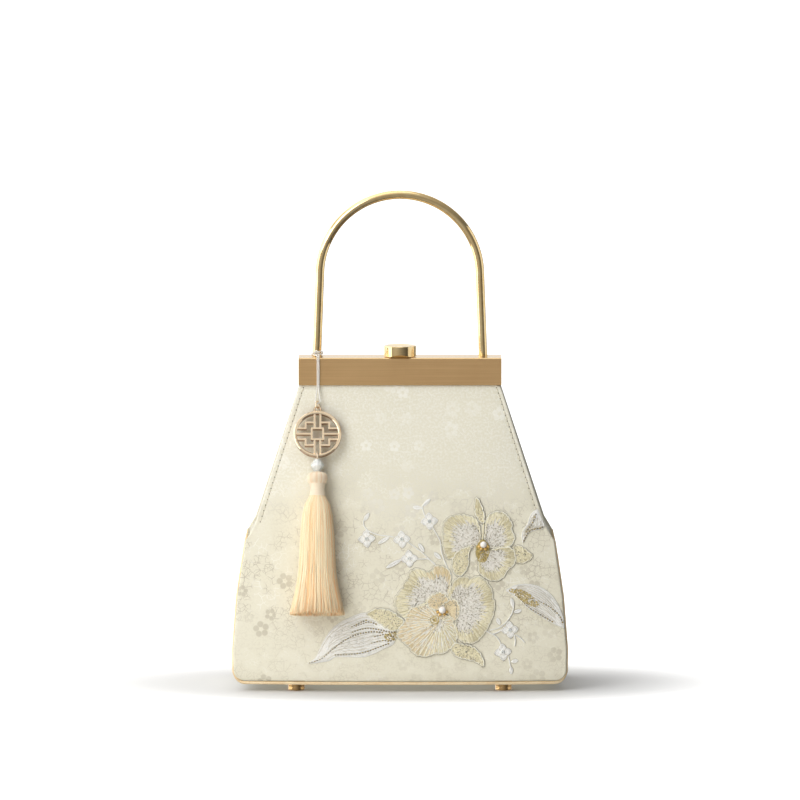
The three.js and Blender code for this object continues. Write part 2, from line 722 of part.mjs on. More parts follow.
// Route of the cord, from its knot on the front of the left handle leg: once round the leg, over the
// frame and down to the jump ring, back up beside itself and round the leg to the knot again.
function cordRoute(ring) {
  const { top, bottom } = FRAME;
  const legX = -handleLegX(top + HANDLE.radius);
  const round = HANDLE.radius + CORD.radius + CORD.legGap;
  const beside = HANDLE.y - 0.9;
  const front = -FRAME.depth / 2 - CORD.radius - CORD.faceGap;
  const at = (x, y, z) => new THREE.Vector3(x, y, z);
  const onLeg = (degrees, up) => {
    const turn = THREE.MathUtils.degToRad(degrees);
    return at(legX + round * Math.sin(turn), HANDLE.y - round * Math.cos(turn), top + up);
  };
  const onRing = (x, y, z) => at(ring.x + x, ring.y + y, ring.z + z);
  const { downX, upX } = CORD;
  return [
    onLeg(-8, 2.4),
    onLeg(-60, 2.4),
    onLeg(-120, 2.4),
    onLeg(-180, 2.4),
    onLeg(-235, 2.3),
    at(legX + round, beside, top + 2.2),
    at(downX + 1.6, -1, top + 1.8),
    at(downX, -7.4, top + 1.2),
    at(downX, front + 0.9, top + 0.6),
    at(downX, front, top - 1.7),
    at(downX, front, (top + bottom) / 2),
    at(downX, front, bottom + 1.5),
    at(downX, front - 0.5, bottom - 2),
    onRing(1.3, 0.45, 4.4),
    onRing(1.5, 0.15, 2.1),
    onRing(0, 0, 0.85),
    onRing(-1.5, 0.15, 2.1),
    onRing(-1.3, 0.45, 4.4),
    at(upX, front - 0.5, bottom - 2),
    at(upX, front, bottom + 1.5),
    at(upX, front, (top + bottom) / 2),
    at(upX, front, top - 1.7),
    at(upX, front + 0.9, top + 0.6),
    at(upX - 0.2, -7.4, top + 1.0),
    at(upX - 2, -1, top + 0.9),
    at(legX - round, beside, top + 0.9),
    onLeg(235, 0.9),
    onLeg(180, 0.9),
    onLeg(120, 1),
    onLeg(60, 1.1),
    onLeg(6, 1.3),
  ];
}

// Assembly

const bag = new THREE.Group();

function place(name, geometry, material, parent = bag) {
  const mesh = new THREE.Mesh(geometry, material.clone());
  mesh.name = name;
  parent.add(mesh);
  return mesh;
}

// A group that turns its pieces half round the vertical axis.
const halfTurn = new THREE.Group();
halfTurn.rotation.z = Math.PI;
bag.add(halfTurn);

const face = facePanel();
place("face_panel", face, BROCADE);
place("back_panel", face, BROCADE, halfTurn);
const side = gusset();
place("gusset_right", side, BROCADE);
place("gusset_left", side, BROCADE, halfTurn);
place("base_panel", basePanel(), BROCADE);
const welt = piping();
place("piping_front", welt, GOLD_LEATHER);
place("piping_back", welt, GOLD_LEATHER, halfTurn);
const footGeometry = foot();
for (const [end, x] of [["left", -FOOT.x], ["right", FOOT.x]]) {
  for (const [row, y] of [["front", -FOOT.y], ["back", FOOT.y]]) {
    place(`foot_${row}_${end}`, footGeometry, POLISHED_GOLD).position.set(x, y, 0);
  }
}

place("frame_front", frameFront(), BRUSHED_GOLD);
place("frame_rear", frameRear(), BRUSHED_GOLD);
const pin = hingePin();
place("hinge_pin_right", pin, BRUSHED_GOLD);
place("hinge_pin_left", pin, BRUSHED_GOLD, halfTurn);
place("handle", geometryOf(tube(new BowCurve(), HANDLE.radius, HANDLE.sides, HANDLE.steps)), POLISHED_GOLD);
place("clasp_lever", claspLever(), POLISHED_GOLD);
place("clasp_pin", claspPin(), POLISHED_GOLD);

for (const { name, x, z, radius } of PEARLS) {
  const mesh = place(name, new THREE.SphereGeometry(radius, 12, 8), PEARL);
  mesh.position.set(x, -faceDepth(x, z) - PEARL_LIFT - radius, z);
}

// The medallion leans a little more than the face behind it, held off by the tassel's head.
const charm = new THREE.Group();
const faceSlope = (z, reach) =>
  Math.atan2(faceDepth(CHARM.x, z - reach) - faceDepth(CHARM.x, z + reach), 2 * reach);
charm.rotation.x = -faceSlope(CHARM.medallionZ, MEDALLION.radius) - THREE.MathUtils.degToRad(CHARM.lean);
charm.position.set(CHARM.x, -faceDepth(CHARM.x, CHARM.medallionZ) - CHARM.standOff, CHARM.medallionZ);
bag.add(charm);
place("medallion", medallion(), PALE_GOLD, charm);
place("jump_ring", jumpRing(), PALE_GOLD, charm);

// The tassel hangs from the rim and rests its fringe on the face lower down.
charm.updateMatrixWorld(true);
const rimBottom = charm.localToWorld(new THREE.Vector3(0, 0, -MEDALLION.radius + MEDALLION.rim / 2));
const backs = [
  ...TASSEL_CORE.map(({ z, radius }) => ({ z, back: radius })),
  ...LOCK.map(({ z, reach, half }) => ({ z, back: reach + half })),
];
const clearOf = ({ z, back }) => back * sectionShare(z, TASSEL.backShare) + TASSEL.restGap;
const lean = Math.max(
  ...backs.map((station) => {
    const down = station.z * Math.cos(faceSlope(100, 50));
    return Math.atan2(rimBottom.y + faceDepth(CHARM.x, rimBottom.z + down) + clearOf(station), -down);
  }),
);
const hang = new THREE.Vector3(0, Math.sin(lean), Math.cos(lean));
const fringeEnd = rimBottom.clone().addScaledVector(hang, TASSEL.bottom);
const droop = -(fringeEnd.y + faceDepth(CHARM.x, fringeEnd.z) + clearOf(backs.at(-1))) / Math.cos(lean);
const hanging = new THREE.Group();
hanging.position.copy(rimBottom);
hanging.rotation.x = -lean;
bag.add(hanging);
place("bead", bead(), OPAL, hanging);
place("tassel", tassel(droop), SILK, hanging);

const ringMiddle = charm.localToWorld(new THREE.Vector3(0, 0, MEDALLION.radius + JUMP_RING.above));
const cordCurve = new THREE.CatmullRomCurve3(cordRoute(ringMiddle), false, "centripetal");
place("charm_cord", geometryOf(tube(cordCurve, CORD.radius, CORD.sides, CORD.steps)), THREAD);

export default bag;
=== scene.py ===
"""Brocade frame handbag with a thumb clasp, a bow handle and a tassel charm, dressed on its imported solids."""
import logging
from dataclasses import dataclass, field
from enum import Enum
from functools import cache
from math import atan2, copysign, cos, exp, pi, radians, sin, sqrt, tan, tau
from typing import Any, Mapping, Sequence

import bmesh
import bpy
import numpy as np
from mathutils import Matrix, Vector


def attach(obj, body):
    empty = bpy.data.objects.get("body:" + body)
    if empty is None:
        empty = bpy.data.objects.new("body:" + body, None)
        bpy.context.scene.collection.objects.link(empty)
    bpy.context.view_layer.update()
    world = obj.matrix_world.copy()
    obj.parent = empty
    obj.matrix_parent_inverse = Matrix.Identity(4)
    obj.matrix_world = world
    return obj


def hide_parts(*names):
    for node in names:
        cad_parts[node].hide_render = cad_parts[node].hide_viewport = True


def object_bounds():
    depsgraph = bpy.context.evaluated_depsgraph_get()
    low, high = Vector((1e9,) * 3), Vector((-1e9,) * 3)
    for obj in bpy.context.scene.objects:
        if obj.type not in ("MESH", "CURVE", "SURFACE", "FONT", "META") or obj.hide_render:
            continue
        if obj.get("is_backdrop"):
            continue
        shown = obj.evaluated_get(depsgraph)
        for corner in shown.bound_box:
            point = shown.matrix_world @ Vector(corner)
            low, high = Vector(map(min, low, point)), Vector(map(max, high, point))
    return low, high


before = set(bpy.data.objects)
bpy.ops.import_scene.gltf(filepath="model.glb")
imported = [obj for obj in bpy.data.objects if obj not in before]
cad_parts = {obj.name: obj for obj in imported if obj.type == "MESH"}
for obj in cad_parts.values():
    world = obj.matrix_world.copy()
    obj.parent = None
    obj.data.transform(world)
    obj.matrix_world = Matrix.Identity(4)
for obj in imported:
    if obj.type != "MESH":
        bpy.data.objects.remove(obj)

LOG = logging.getLogger("handbag")
MM = 0.001
SEED = 11
WELD = 2e-6
FINE_WELD = 1e-7
FLAT_ANGLE = radians(0.4)
SHARP_ANGLE = radians(28)
CAD_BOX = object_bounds()

Array = np.ndarray
Numbers = np.ndarray | float
Floats = tuple[float, ...]
Triple = tuple[float, float, float]
Colour = tuple[float, float, float, float]
Spot = tuple[float, float]
Spots = Sequence[Spot]
Piece = bpy.types.Object
Material = bpy.types.Material
Node = bpy.types.Node
Socket = bpy.types.NodeSocket


class Body(Enum):
    """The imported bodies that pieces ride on."""

    BAG = "bag"
    CLASP = "clasp"


class Slot(Enum):
    """The record's finishes."""

    BROCADE = "brocade"
    LEATHER = "gold_leather"
    BRUSHED = "brushed_gold"
    POLISHED = "polished_gold"
    PALE = "pale_gold"
    SILK = "silk"
    THREAD = "thread"
    OPAL = "opal"
    PEARL = "pearl"


def tone(red: int, green: int, blue: int) -> Colour:
    """The linear light, with full alpha, of a colour in display steps from 0 to 255."""
    shown = np.array([red, green, blue]) / 255
    return (*map(float, np.where(shown <= 0.04045, shown / 12.92, ((shown + 0.055) / 1.055) ** 2.4)), 1.0)


def smoothstep(value: Numbers, low: float, high: float) -> Array:
    """A soft step from 0 at low to 1 at high."""
    share = np.clip((np.asarray(value, float) - low) / (high - low), 0, 1)
    return share * share * (3 - 2 * share)


def steps(line: Array) -> Array:
    """The distance from each point of a line to the next."""
    return np.linalg.norm(np.diff(line, axis=0), axis=1)


def rejoined(loop: Array) -> Array:
    """A loop that repeats its first point at its end."""
    return np.concatenate([loop, loop[:1]])


def twice_area(loop: Array) -> float:
    """Twice the area within a flat loop, above 0 where it runs anticlockwise."""
    x, z = loop.T
    return float(np.sum(x * np.roll(z, -1) - np.roll(x, -1) * z))


def resampled(line: Array, spacing: float) -> Array:
    """Even points along a line.

    Args:
        line: Points of the line.
        spacing: Wanted distance between points.

    Returns:
        The same line at even spacing, with both its ends.
    """
    run = np.concatenate([[0], np.cumsum(steps(line))])
    stops = np.linspace(0, run[-1], max(2, int(round(run[-1] / spacing)) + 1))
    return np.stack([np.interp(stops, run, line[:, k]) for k in range(line.shape[1])], axis=1)


def spline(points: Sequence[Sequence[float]], spacing: float, closed: bool = False) -> Array:
    """A smooth line through points, as a centripetal curve.

    Args:
        points: Points that the line passes through.
        spacing: Distance between the points of the result.
        closed: Whether the line comes back to its start.

    Returns:
        Even points along the line. A closed line repeats its first point at its end.
    """
    p = np.asarray(points, float)
    ends = (p[-1:], p[:2]) if closed else (2 * p[:1] - p[1:2], 2 * p[-1:] - p[-2:-1])
    p = np.vstack([ends[0], p, ends[1]])
    share = np.linspace(0, 1, 16, endpoint=False)[:, None]
    spans = []
    for a, b, c, d in zip(p[:-3], p[1:-2], p[2:-1], p[3:]):
        first, middle, last = (max(1e-9, np.linalg.norm(v) ** 0.5) for v in (b - a, c - b, d - c))
        leave = ((b - a) / first - (c - a) / (first + middle) + (c - b) / middle) * middle
        reach = ((c - b) / middle - (d - b) / (middle + last) + (d - c) / last) * middle
        spans.append(b + leave * share + (3 * (c - b) - 2 * leave - reach) * share**2
                     + (2 * (b - c) + leave + reach) * share**3)
    return resampled(np.vstack([*spans, p[-2:-1]]), spacing)


def offset_loop(loop: Array, distance: Numbers) -> Array:
    """A closed loop of flat points, moved outwards.

    Args:
        loop: Points of the loop.
        distance: How far they move.

    Returns:
        The wider loop.
    """
    ahead = np.roll(loop, -1, axis=0) - np.roll(loop, 1, axis=0)
    out = np.stack([ahead[:, 1], -ahead[:, 0]], -1) / np.linalg.norm(ahead, axis=1, keepdims=True)
    return loop + out * copysign(1.0, twice_area(loop)) * np.reshape(distance, (-1, 1))


def inside(loop: Array, spots: Array) -> Array:
    """Which flat spots a closed loop winds round."""
    turns = np.diff(np.angle((rejoined(loop) - spots[:, None]) @ np.array([1, 1j])), axis=1)
    return np.abs(((turns + pi) % tau - pi).sum(axis=1)) > pi


def new_object(name: str, data: bpy.types.ID) -> Piece:
    """A mesh, a light or a camera put in the scene at the origin.

    Args:
        name: Name of the object.
        data: What it holds.

    Returns:
        The object.
    """
    made = bpy.data.objects.new(name, data)
    bpy.context.scene.collection.objects.link(made)
    return made


def turn_to(holder: Piece, target: Vector) -> None:
    """Turns a light or a camera to a place."""
    holder.rotation_euler = (target - holder.location).to_track_quat("-Z", "Y").to_euler()


def baked(source: Piece, name: str) -> Piece:
    """An object's evaluated shape as a plain mesh, in the object's place.

    Args:
        source: Object with modifiers, which is removed.
        name: Name of the plain object.

    Returns:
        The plain object.
    """
    bpy.context.view_layer.update()
    graph = bpy.context.evaluated_depsgraph_get()
    mesh = bpy.data.meshes.new_from_object(source.evaluated_get(graph), depsgraph=graph)
    bpy.data.objects.remove(source)
    mesh.name = name
    return new_object(name, mesh)


def plain_mesh(name: str, shape: bmesh.types.BMesh, smooth: bool = True) -> Piece:
    """An object from a shape under edit.

    Args:
        name: Name of the object.
        shape: The shape, which is freed.
        smooth: Whether its faces are shaded smooth.

    Returns:
        The object.
    """
    for face in shape.faces:
        face.smooth = smooth
    mesh = bpy.data.meshes.new(name)
    shape.to_mesh(mesh)
    shape.free()
    return new_object(name, mesh)


def closed_wall(name: str, outer: Array, inner: Array, cloth: Array) -> Piece:
    """A wall between two grids of points, closed along its four edges, with a cloth map in metres.

    Args:
        name: Name of the object.
        outer: Points of the outer skin, rows by columns.
        inner: Points of the inner skin.
        cloth: Place of each point on the flat cloth.

    Returns:
        The wall.
    """
    rows, columns = outer.shape[:2]
    shape = bmesh.new()
    corners = [shape.verts.new(p) for p in np.concatenate([outer.reshape(-1, 3), inner.reshape(-1, 3)])]
    index = np.arange(rows * columns).reshape(rows, columns)
    back = index + rows * columns
    rim = np.concatenate([index[0, :-1], index[:-1, -1], index[-1, :0:-1], index[:0:-1, 0]])
    quads = [np.stack([g[:-1, :-1], g[:-1, 1:], g[1:, 1:], g[1:, :-1]], -1).reshape(-1, 4)
             for g in (index, back)]
    follow = np.roll(rim, -1)
    quads.append(np.stack([rim, follow, follow + rows * columns, rim + rows * columns], -1))
    for quad in np.concatenate(quads):
        shape.faces.new([corners[k] for k in quad])
    bmesh.ops.recalc_face_normals(shape, faces=shape.faces)
    layer = shape.loops.layers.uv.new("cloth")
    flat = np.concatenate([cloth.reshape(-1, 2)] * 2)
    shape.verts.index_update()
    for face in shape.faces:
        for loop in face.loops:
            loop[layer].uv = flat[loop.vert.index]
    return plain_mesh(name, shape)


def ringed(shape: bmesh.types.BMesh, stack: Sequence[Sequence[Any]]) -> list[list[bmesh.types.BMVert]]:
    """Adds a stack of rings to a shape, with faces between each ring and the next.

    Args:
        shape: The shape under edit.
        stack: The points of each ring, all of one count.

    Returns:
        The corners of each ring.
    """
    rings = [[shape.verts.new(place) for place in ring] for ring in stack]
    for low, high in zip(rings, rings[1:]):
        for quad in zip(low, low[1:] + low[:1], high[1:] + high[:1], high):
            shape.faces.new(quad)
    return rings


def lathe(name: str, profile: Spots, sides: int) -> Piece:
    """A turned shape about Z.

    Args:
        name: Name of the object.
        profile: Radius and height of each station, in metres; a radius of 0 makes a pole.
        sides: Steps round the axis.

    Returns:
        The turned shape.
    """
    shape = bmesh.new()
    turns = [tau * k / sides for k in range(sides)]
    ringed(shape, [[(r * cos(turn), r * sin(turn), z) for turn in turns] for r, z in profile])
    bmesh.ops.remove_doubles(shape, verts=shape.verts, dist=FINE_WELD)
    bmesh.ops.recalc_face_normals(shape, faces=shape.faces)
    return plain_mesh(name, shape)


def solid_copy(name: str, nodes: Sequence[str], bevel: float = 0.00015,
               facets: bool = False) -> Piece:
    """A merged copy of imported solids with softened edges.

    Args:
        name: Name of the copy.
        nodes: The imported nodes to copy.
        bevel: Width of the softened edges.
        facets: Whether the faces stay flat, as cut facets do.

    Returns:
        The copy.
    """
    shape = bmesh.new()
    for node in nodes:
        shape.from_mesh(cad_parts[node].data)
    bmesh.ops.remove_doubles(shape, verts=shape.verts, dist=WELD)
    bmesh.ops.dissolve_limit(shape, angle_limit=FLAT_ANGLE, verts=shape.verts, edges=shape.edges)
    copy = plain_mesh(name, shape, smooth=not facets)
    copy.data.materials.clear()
    edge = copy.modifiers.new("soft_edges", "BEVEL")
    edge.width = bevel
    edge.segments = 2
    edge.limit_method = "ANGLE"
    edge.angle_limit = SHARP_ANGLE
    if not facets:
        copy.modifiers.new("flat_faces", "WEIGHTED_NORMAL").keep_sharp = False
    return baked(copy, name)


def face_normals(piece: Piece) -> Array:
    """The direction out of each face."""
    return np.array([face.normal for face in piece.data.polygons])


def mark(piece: Piece, label: str, domain: str, values: Array) -> None:
    """Gives each POINT or FACE of a piece a number that its finish reads under a label."""
    layer = piece.data.attributes.new(label, "FLOAT", domain)
    layer.data.foreach_set("value", values.astype(np.float32))


@dataclass
class Assembly:
    """A group of pieces that is built and then dressed."""

    pieces: dict[str, Piece] = field(default_factory=dict)

    def keep(self, *made: Piece) -> None:
        """Takes finished pieces in under their names."""
        self.pieces.update((piece.name, piece) for piece in made)

    def coat(self, finish: Material, *names: str) -> None:
        """Gives a finish to pieces that were made without one."""
        for name in names:
            self.pieces[name].data.materials.append(finish)

    def fit(self, name: str, slot: Slot, *nodes: str, body: Body = Body.BAG) -> None:
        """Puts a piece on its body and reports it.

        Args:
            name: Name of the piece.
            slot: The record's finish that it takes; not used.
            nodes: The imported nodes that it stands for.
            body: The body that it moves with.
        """
        piece = self.pieces[name]
        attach(piece, body.value)
        if nodes:
            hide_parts(*nodes)
        piece.data.calc_loop_triangles()
        LOG.info("%s rides on %s: %d triangles", name, body.value, len(piece.data.loop_triangles))


class NodeSheet:
    """A node tree that is written one node at a time."""

    def __init__(self, tree: bpy.types.NodeTree) -> None:
        """Starts on an existing tree."""
        self.tree = tree

    def plug(self, socket: Socket, value: Any) -> None:
        """Links or sets one input.

        Args:
            socket: The input.
            value: A node, an output or a plain value.
        """
        if isinstance(value, Node):
            value = next(out for out in value.outputs if out.enabled)
        if isinstance(value, Socket):
            self.tree.links.new(value, socket)
        else:
            socket.default_value = value

    def add(self, kind: str, *values: Any, settings: Mapping[str, Any] | None = None,
            **named: Any) -> Node:
        """One node with its inputs.

        Args:
            kind: The node's type.
            values: Values for its inputs in order; None leaves one as it is.
            settings: Properties of the node.
            named: Values by the input's name, with _ for a space.

        Returns:
            The node.
        """
        node = self.tree.nodes.new(kind)
        for key, value in (settings or {}).items():
            setattr(node, key, value)
        live = [socket for socket in node.inputs if socket.enabled]
        for socket, value in zip(live, values):
            if value is not None:
                self.plug(socket, value)
        for key, value in named.items():
            self.plug(next(s for s in live if s.name == key.replace("_", " ")), value)
        return node

    def math(self, operation: str, *values: Any) -> Node:
        """A sum on numbers."""
        return self.add("ShaderNodeMath", *values, settings={"operation": operation})

    def times(self, first: Any, second: Any) -> Node:
        """The product of two numbers."""
        return self.math("MULTIPLY", first, second)

    def vector(self, operation: str, *values: Any) -> Node:
        """A sum on vectors."""
        return self.add("ShaderNodeVectorMath", *values, settings={"operation": operation})

    def length(self, way: Any) -> Socket:
        """The length of a vector."""
        return self.vector("LENGTH", way).outputs["Value"]

    def band(self, value: Any, low: float, high: float, start: float = 0.0,
             end: float = 1.0) -> Socket:
        """A soft step of a value between low and high, from a start to an end."""
        return self.add("ShaderNodeMapRange", value, low, high, start, end,
                        settings={"interpolation_type": "SMOOTHSTEP"}).outputs["Result"]


class ShaderSheet(NodeSheet):
    """A material written as nodes round one Principled shader."""

    def __init__(self, name: str) -> None:
        """Starts a material.

        Args:
            name: Name of the material.
        """
        self.material = bpy.data.materials.new(name)
        self.material.use_nodes = True
        super().__init__(self.material.node_tree)
        self.shader = self.tree.nodes["Principled BSDF"]

    def place(self) -> Socket:
        """The place on the object, in metres."""
        return self.add("ShaderNodeTexCoord").outputs["Object"]

    def cloth(self) -> Socket:
        """The place on the flat cloth, in metres."""
        return self.add("ShaderNodeUVMap", settings={"uv_map": "cloth"}).outputs["UV"]

    def mark(self, label: str) -> Socket:
        """A number that the mesh carries for each point or face."""
        return self.add("ShaderNodeAttribute", settings={"attribute_name": label}).outputs["Fac"]

    def noise(self, place: Any, scale: float, detail: float = 3.0) -> Socket:
        """Soft random values from 0 to 1."""
        return self.add("ShaderNodeTexNoise", Vector=place, Scale=scale, Detail=detail).outputs["Fac"]

    def cells(self, place: Any, scale: float, feature: str = "F1", randomness: float = 1.0) -> Node:
        """Random cells on the flat cloth, a number to a metre, measured by a feature."""
        return self.add("ShaderNodeTexVoronoi", Vector=place, Scale=scale, Randomness=randomness,
                        settings={"voronoi_dimensions": "2D", "feature": feature})

    def mix(self, share: Any, first: Any, second: Any) -> Node:
        """Two colours mixed by a share of the second."""
        return self.add("ShaderNodeMix", share, first, second, settings={"data_type": "RGBA"})

    def bump(self, height: Any, strength: float, distance: float, below: Any = None) -> Node:
        """Relief of a strength and a height in metres, on top of any relief below it."""
        under = {"Normal": below} if below else {}
        return self.add("ShaderNodeBump", strength, distance, Height=height, **under)

    def wear(self, **sockets: Any) -> Material:
        """Sets the shader's inputs by name, with _ for a space, and hands the material over."""
        for key, value in sockets.items():
            self.plug(self.shader.inputs[key.replace("_", " ")], value)
        return self.material


@dataclass(frozen=True)
class Brocade:
    """Ivory jacquard: cracked-ice lines and dull plum blossoms on an even ground, with a painted sheen that
    makes lines, flecks and blossoms lighter towards the top of the cloth.

    Noises and cells are counted to a metre of cloth; reaches and heights are in metres on it.
    """

    name: str = "ivory_brocade"
    ground: Colour = tone(234, 230, 211)
    pale: Colour = tone(240, 236, 220)
    figure: Colour = tone(200, 193, 174)
    line: Colour = tone(184, 175, 156)
    # The satin colour and the next two sizes make a painted sheen: lines, flecks and blossoms turn this colour
    # between these heights on the cloth, moved a little by the clouds.
    satin: Colour = tone(255, 254, 246)
    painted_sheen_rise: Spot = (0.105, 0.16)
    painted_sheen_drift: float = 0.03
    clouds: float = 16.0
    cloud_share: float = 0.35
    flecks: float = 720.0
    # Share of flecks added under the painted sheen, and the share everywhere.
    flecks_and_painted_sheen: Spot = (0.3, 0.12)
    ice_cells: Spot = (310.0, 215.0)
    ice_width: Spot = (0.012, 0.05)
    ice_patches: Spot = (42.0, 27.0)
    dashes: Spot = (170.0, 75.0)
    plain_below: Spot = (0.025, 0.062)
    line_shares: Spot = (0.3, 0.75)
    # How much the dark lines fade under the painted sheen.
    painted_sheen_line_loss: float = 0.4
    blossom_cells: float = 66.0
    blossom_spread: float = 0.8
    blossom_reach: float = 0.0052
    blossom_drift: float = 13.0
    blossom_share: float = 0.75
    heart_share: float = 0.4
    petal_seat: float = 0.56
    petal_reach: float = 0.37
    heart_reach: float = 0.17
    yarns: float = 2600.0 / 6.3
    weave_height: float = 0.00012
    figure_height: float = 0.00016

    def _blossoms(self, sheet: ShaderSheet, place: Any) -> tuple[Any, Any]:
        """Blossoms of five round petals, one to a cell and turned at random.

        Args:
            sheet: The material under work.
            place: Place on the cloth.

        Returns:
            Masks of the petals and of the ring round the heart.
        """
        cell = sheet.cells(place, self.blossom_cells, randomness=self.blossom_spread)
        chance = sheet.add("ShaderNodeSeparateColor", cell.outputs["Color"]).outputs
        local = sheet.vector("SUBTRACT", place, cell.outputs["Position"])
        parts = sheet.add("ShaderNodeSeparateXYZ", local).outputs
        turn = sheet.math("ARCTAN2", parts["Y"], parts["X"])
        turned = sheet.math("MULTIPLY_ADD", chance["Red"], tau, turn)
        fifth = sheet.math("WRAP", turned, pi / 5, -pi / 5)
        size = sheet.band(chance["Green"], 0.0, 1.0, 0.75 * self.blossom_reach, 1.15 * self.blossom_reach)
        reach = sheet.math("DIVIDE", sheet.length(local), size)
        along = sheet.math("MULTIPLY_ADD", reach, sheet.math("COSINE", fifth), -self.petal_seat)
        across = sheet.times(reach, sheet.math("SINE", fifth))
        off = sheet.length(sheet.add("ShaderNodeCombineXYZ", along, across, 0.0))
        petals = sheet.band(off, 0.7 * self.petal_reach, 1.12 * self.petal_reach, 1.0, 0.0)
        off_heart = sheet.math("ABSOLUTE", sheet.math("SUBTRACT", reach, self.heart_reach))
        ring = sheet.band(off_heart, 0.02, 0.08, 1.0, 0.0)
        drift = sheet.band(sheet.noise(place, self.blossom_drift), 0.4, 0.6, 0.25, 1.0)
        shown = sheet.times(sheet.band(chance["Blue"], 0.3, 0.6), drift)
        return sheet.times(petals, shown), sheet.times(ring, shown)

    def _ice(self, sheet: ShaderSheet, place: Any) -> Any:
        """Cracked-ice lines of two sizes, each in its own patches and broken into dashes.

        Args:
            sheet: The material under work.
            place: Place on the cloth.

        Returns:
            The mask of the lines.
        """
        kinds = []
        for scale, patches in zip(self.ice_cells, self.ice_patches):
            edge = sheet.cells(place, scale, "DISTANCE_TO_EDGE").outputs["Distance"]
            crack = sheet.band(edge, *self.ice_width, 1.0, 0.0)
            kinds.append(sheet.times(crack, sheet.band(sheet.noise(place, patches), 0.42, 0.52)))
        kept = sheet.band(sheet.noise(place, self.dashes[0]), 0.4, 0.5)
        return sheet.times(sheet.math("MAXIMUM", *kinds), kept)

    @cache
    def material(self) -> Material:
        """The finish as a material.

        Returns:
            The material.
        """
        sheet = ShaderSheet(self.name)
        place = sheet.cloth()
        blossom, heart = self._blossoms(sheet, place)
        open_ground = sheet.math("SUBTRACT", 1.0, sheet.times(blossom, 0.8))
        bare = sheet.times(self._ice(sheet, place), open_ground)
        cloud = sheet.band(sheet.noise(place, self.clouds), 0.3, 0.7)
        fleck = sheet.band(sheet.noise(place, self.flecks, 2.0), 0.42, 0.68)
        height = sheet.add("ShaderNodeSeparateXYZ", place).outputs["Y"]
        # Painted sheen: a mask that rises with the height on the cloth, lightly moved by the clouds.
        satin = sheet.band(sheet.math("MULTIPLY_ADD", cloud, self.painted_sheen_drift, height), *self.painted_sheen_rise)
        ground = sheet.mix(sheet.times(cloud, self.cloud_share), self.ground, self.pale)
        # Lines are light under the painted sheen and in random light dashes, and dark elsewhere.
        bright = sheet.math("MAXIMUM", satin, sheet.band(sheet.noise(place, self.dashes[1]), 0.48, 0.58))
        stroke = sheet.mix(bright, self.line, self.satin)
        # More flecks under the painted sheen.
        flecks_and_painted_sheen = sheet.math("MULTIPLY_ADD", satin, *self.flecks_and_painted_sheen)
        flecked = sheet.mix(sheet.times(fleck, flecks_and_painted_sheen), ground, stroke)
        # Blossoms painted lighter under the painted sheen.
        petals = sheet.mix(satin, self.figure, self.satin)
        dyed = sheet.mix(sheet.times(blossom, self.blossom_share), flecked, petals)
        lit = sheet.mix(sheet.times(heart, self.heart_share), dyed, self.pale)
        # Lines weaken near the bottom of the cloth and under the painted sheen.
        strength = sheet.math("SUBTRACT", sheet.band(height, *self.plain_below, *self.line_shares),
                              sheet.times(satin, self.painted_sheen_line_loss))
        weave = sheet.times(*(
            sheet.add("ShaderNodeTexWave", Vector=place, Scale=self.yarns, Distortion=0.6,
                      settings={"bands_direction": way}).outputs["Fac"]
            for way in ("X", "Y")
        ))
        raised = sheet.math("SUBTRACT", sheet.times(blossom, 0.6), bare)
        return sheet.wear(
            Base_Color=sheet.mix(sheet.times(bare, strength), lit, stroke),
            Roughness=sheet.band(blossom, 0.0, 1.0, 0.62, 0.46),
            Normal=sheet.bump(raised, 0.4, self.figure_height, sheet.bump(weave, 0.28, self.weave_height)),
            Specular_IOR_Level=0.35,
            Sheen_Weight=0.2,
            Sheen_Roughness=0.4,
        )


@dataclass(frozen=True)
class GoldLeather:
    """Soft metallic leather of the piping, with a fine grain and darker creases."""

    name: str = "gold_leather"
    light: Colour = tone(255, 236, 200)
    deep: Colour = tone(242, 214, 170)
    grains: float = 2400.0
    patches: float = 120.0
    grain_height: float = 0.0001

    @cache
    def material(self) -> Material:
        """The finish as a material.

        Returns:
            The material.
        """
        sheet = ShaderSheet(self.name)
        place = sheet.place()
        grain = sheet.noise(place, self.grains, 4.0)
        worn = sheet.math("ADD", grain, sheet.noise(place, self.patches))
        return sheet.wear(
            Base_Color=sheet.mix(sheet.band(worn, 0.75, 1.25), self.deep, self.light),
            Metallic=0.25,
            Roughness=sheet.band(grain, 0.3, 0.7, 0.34, 0.5),
            Normal=sheet.bump(grain, 0.3, self.grain_height),
            Specular_IOR_Level=0.5,
        )


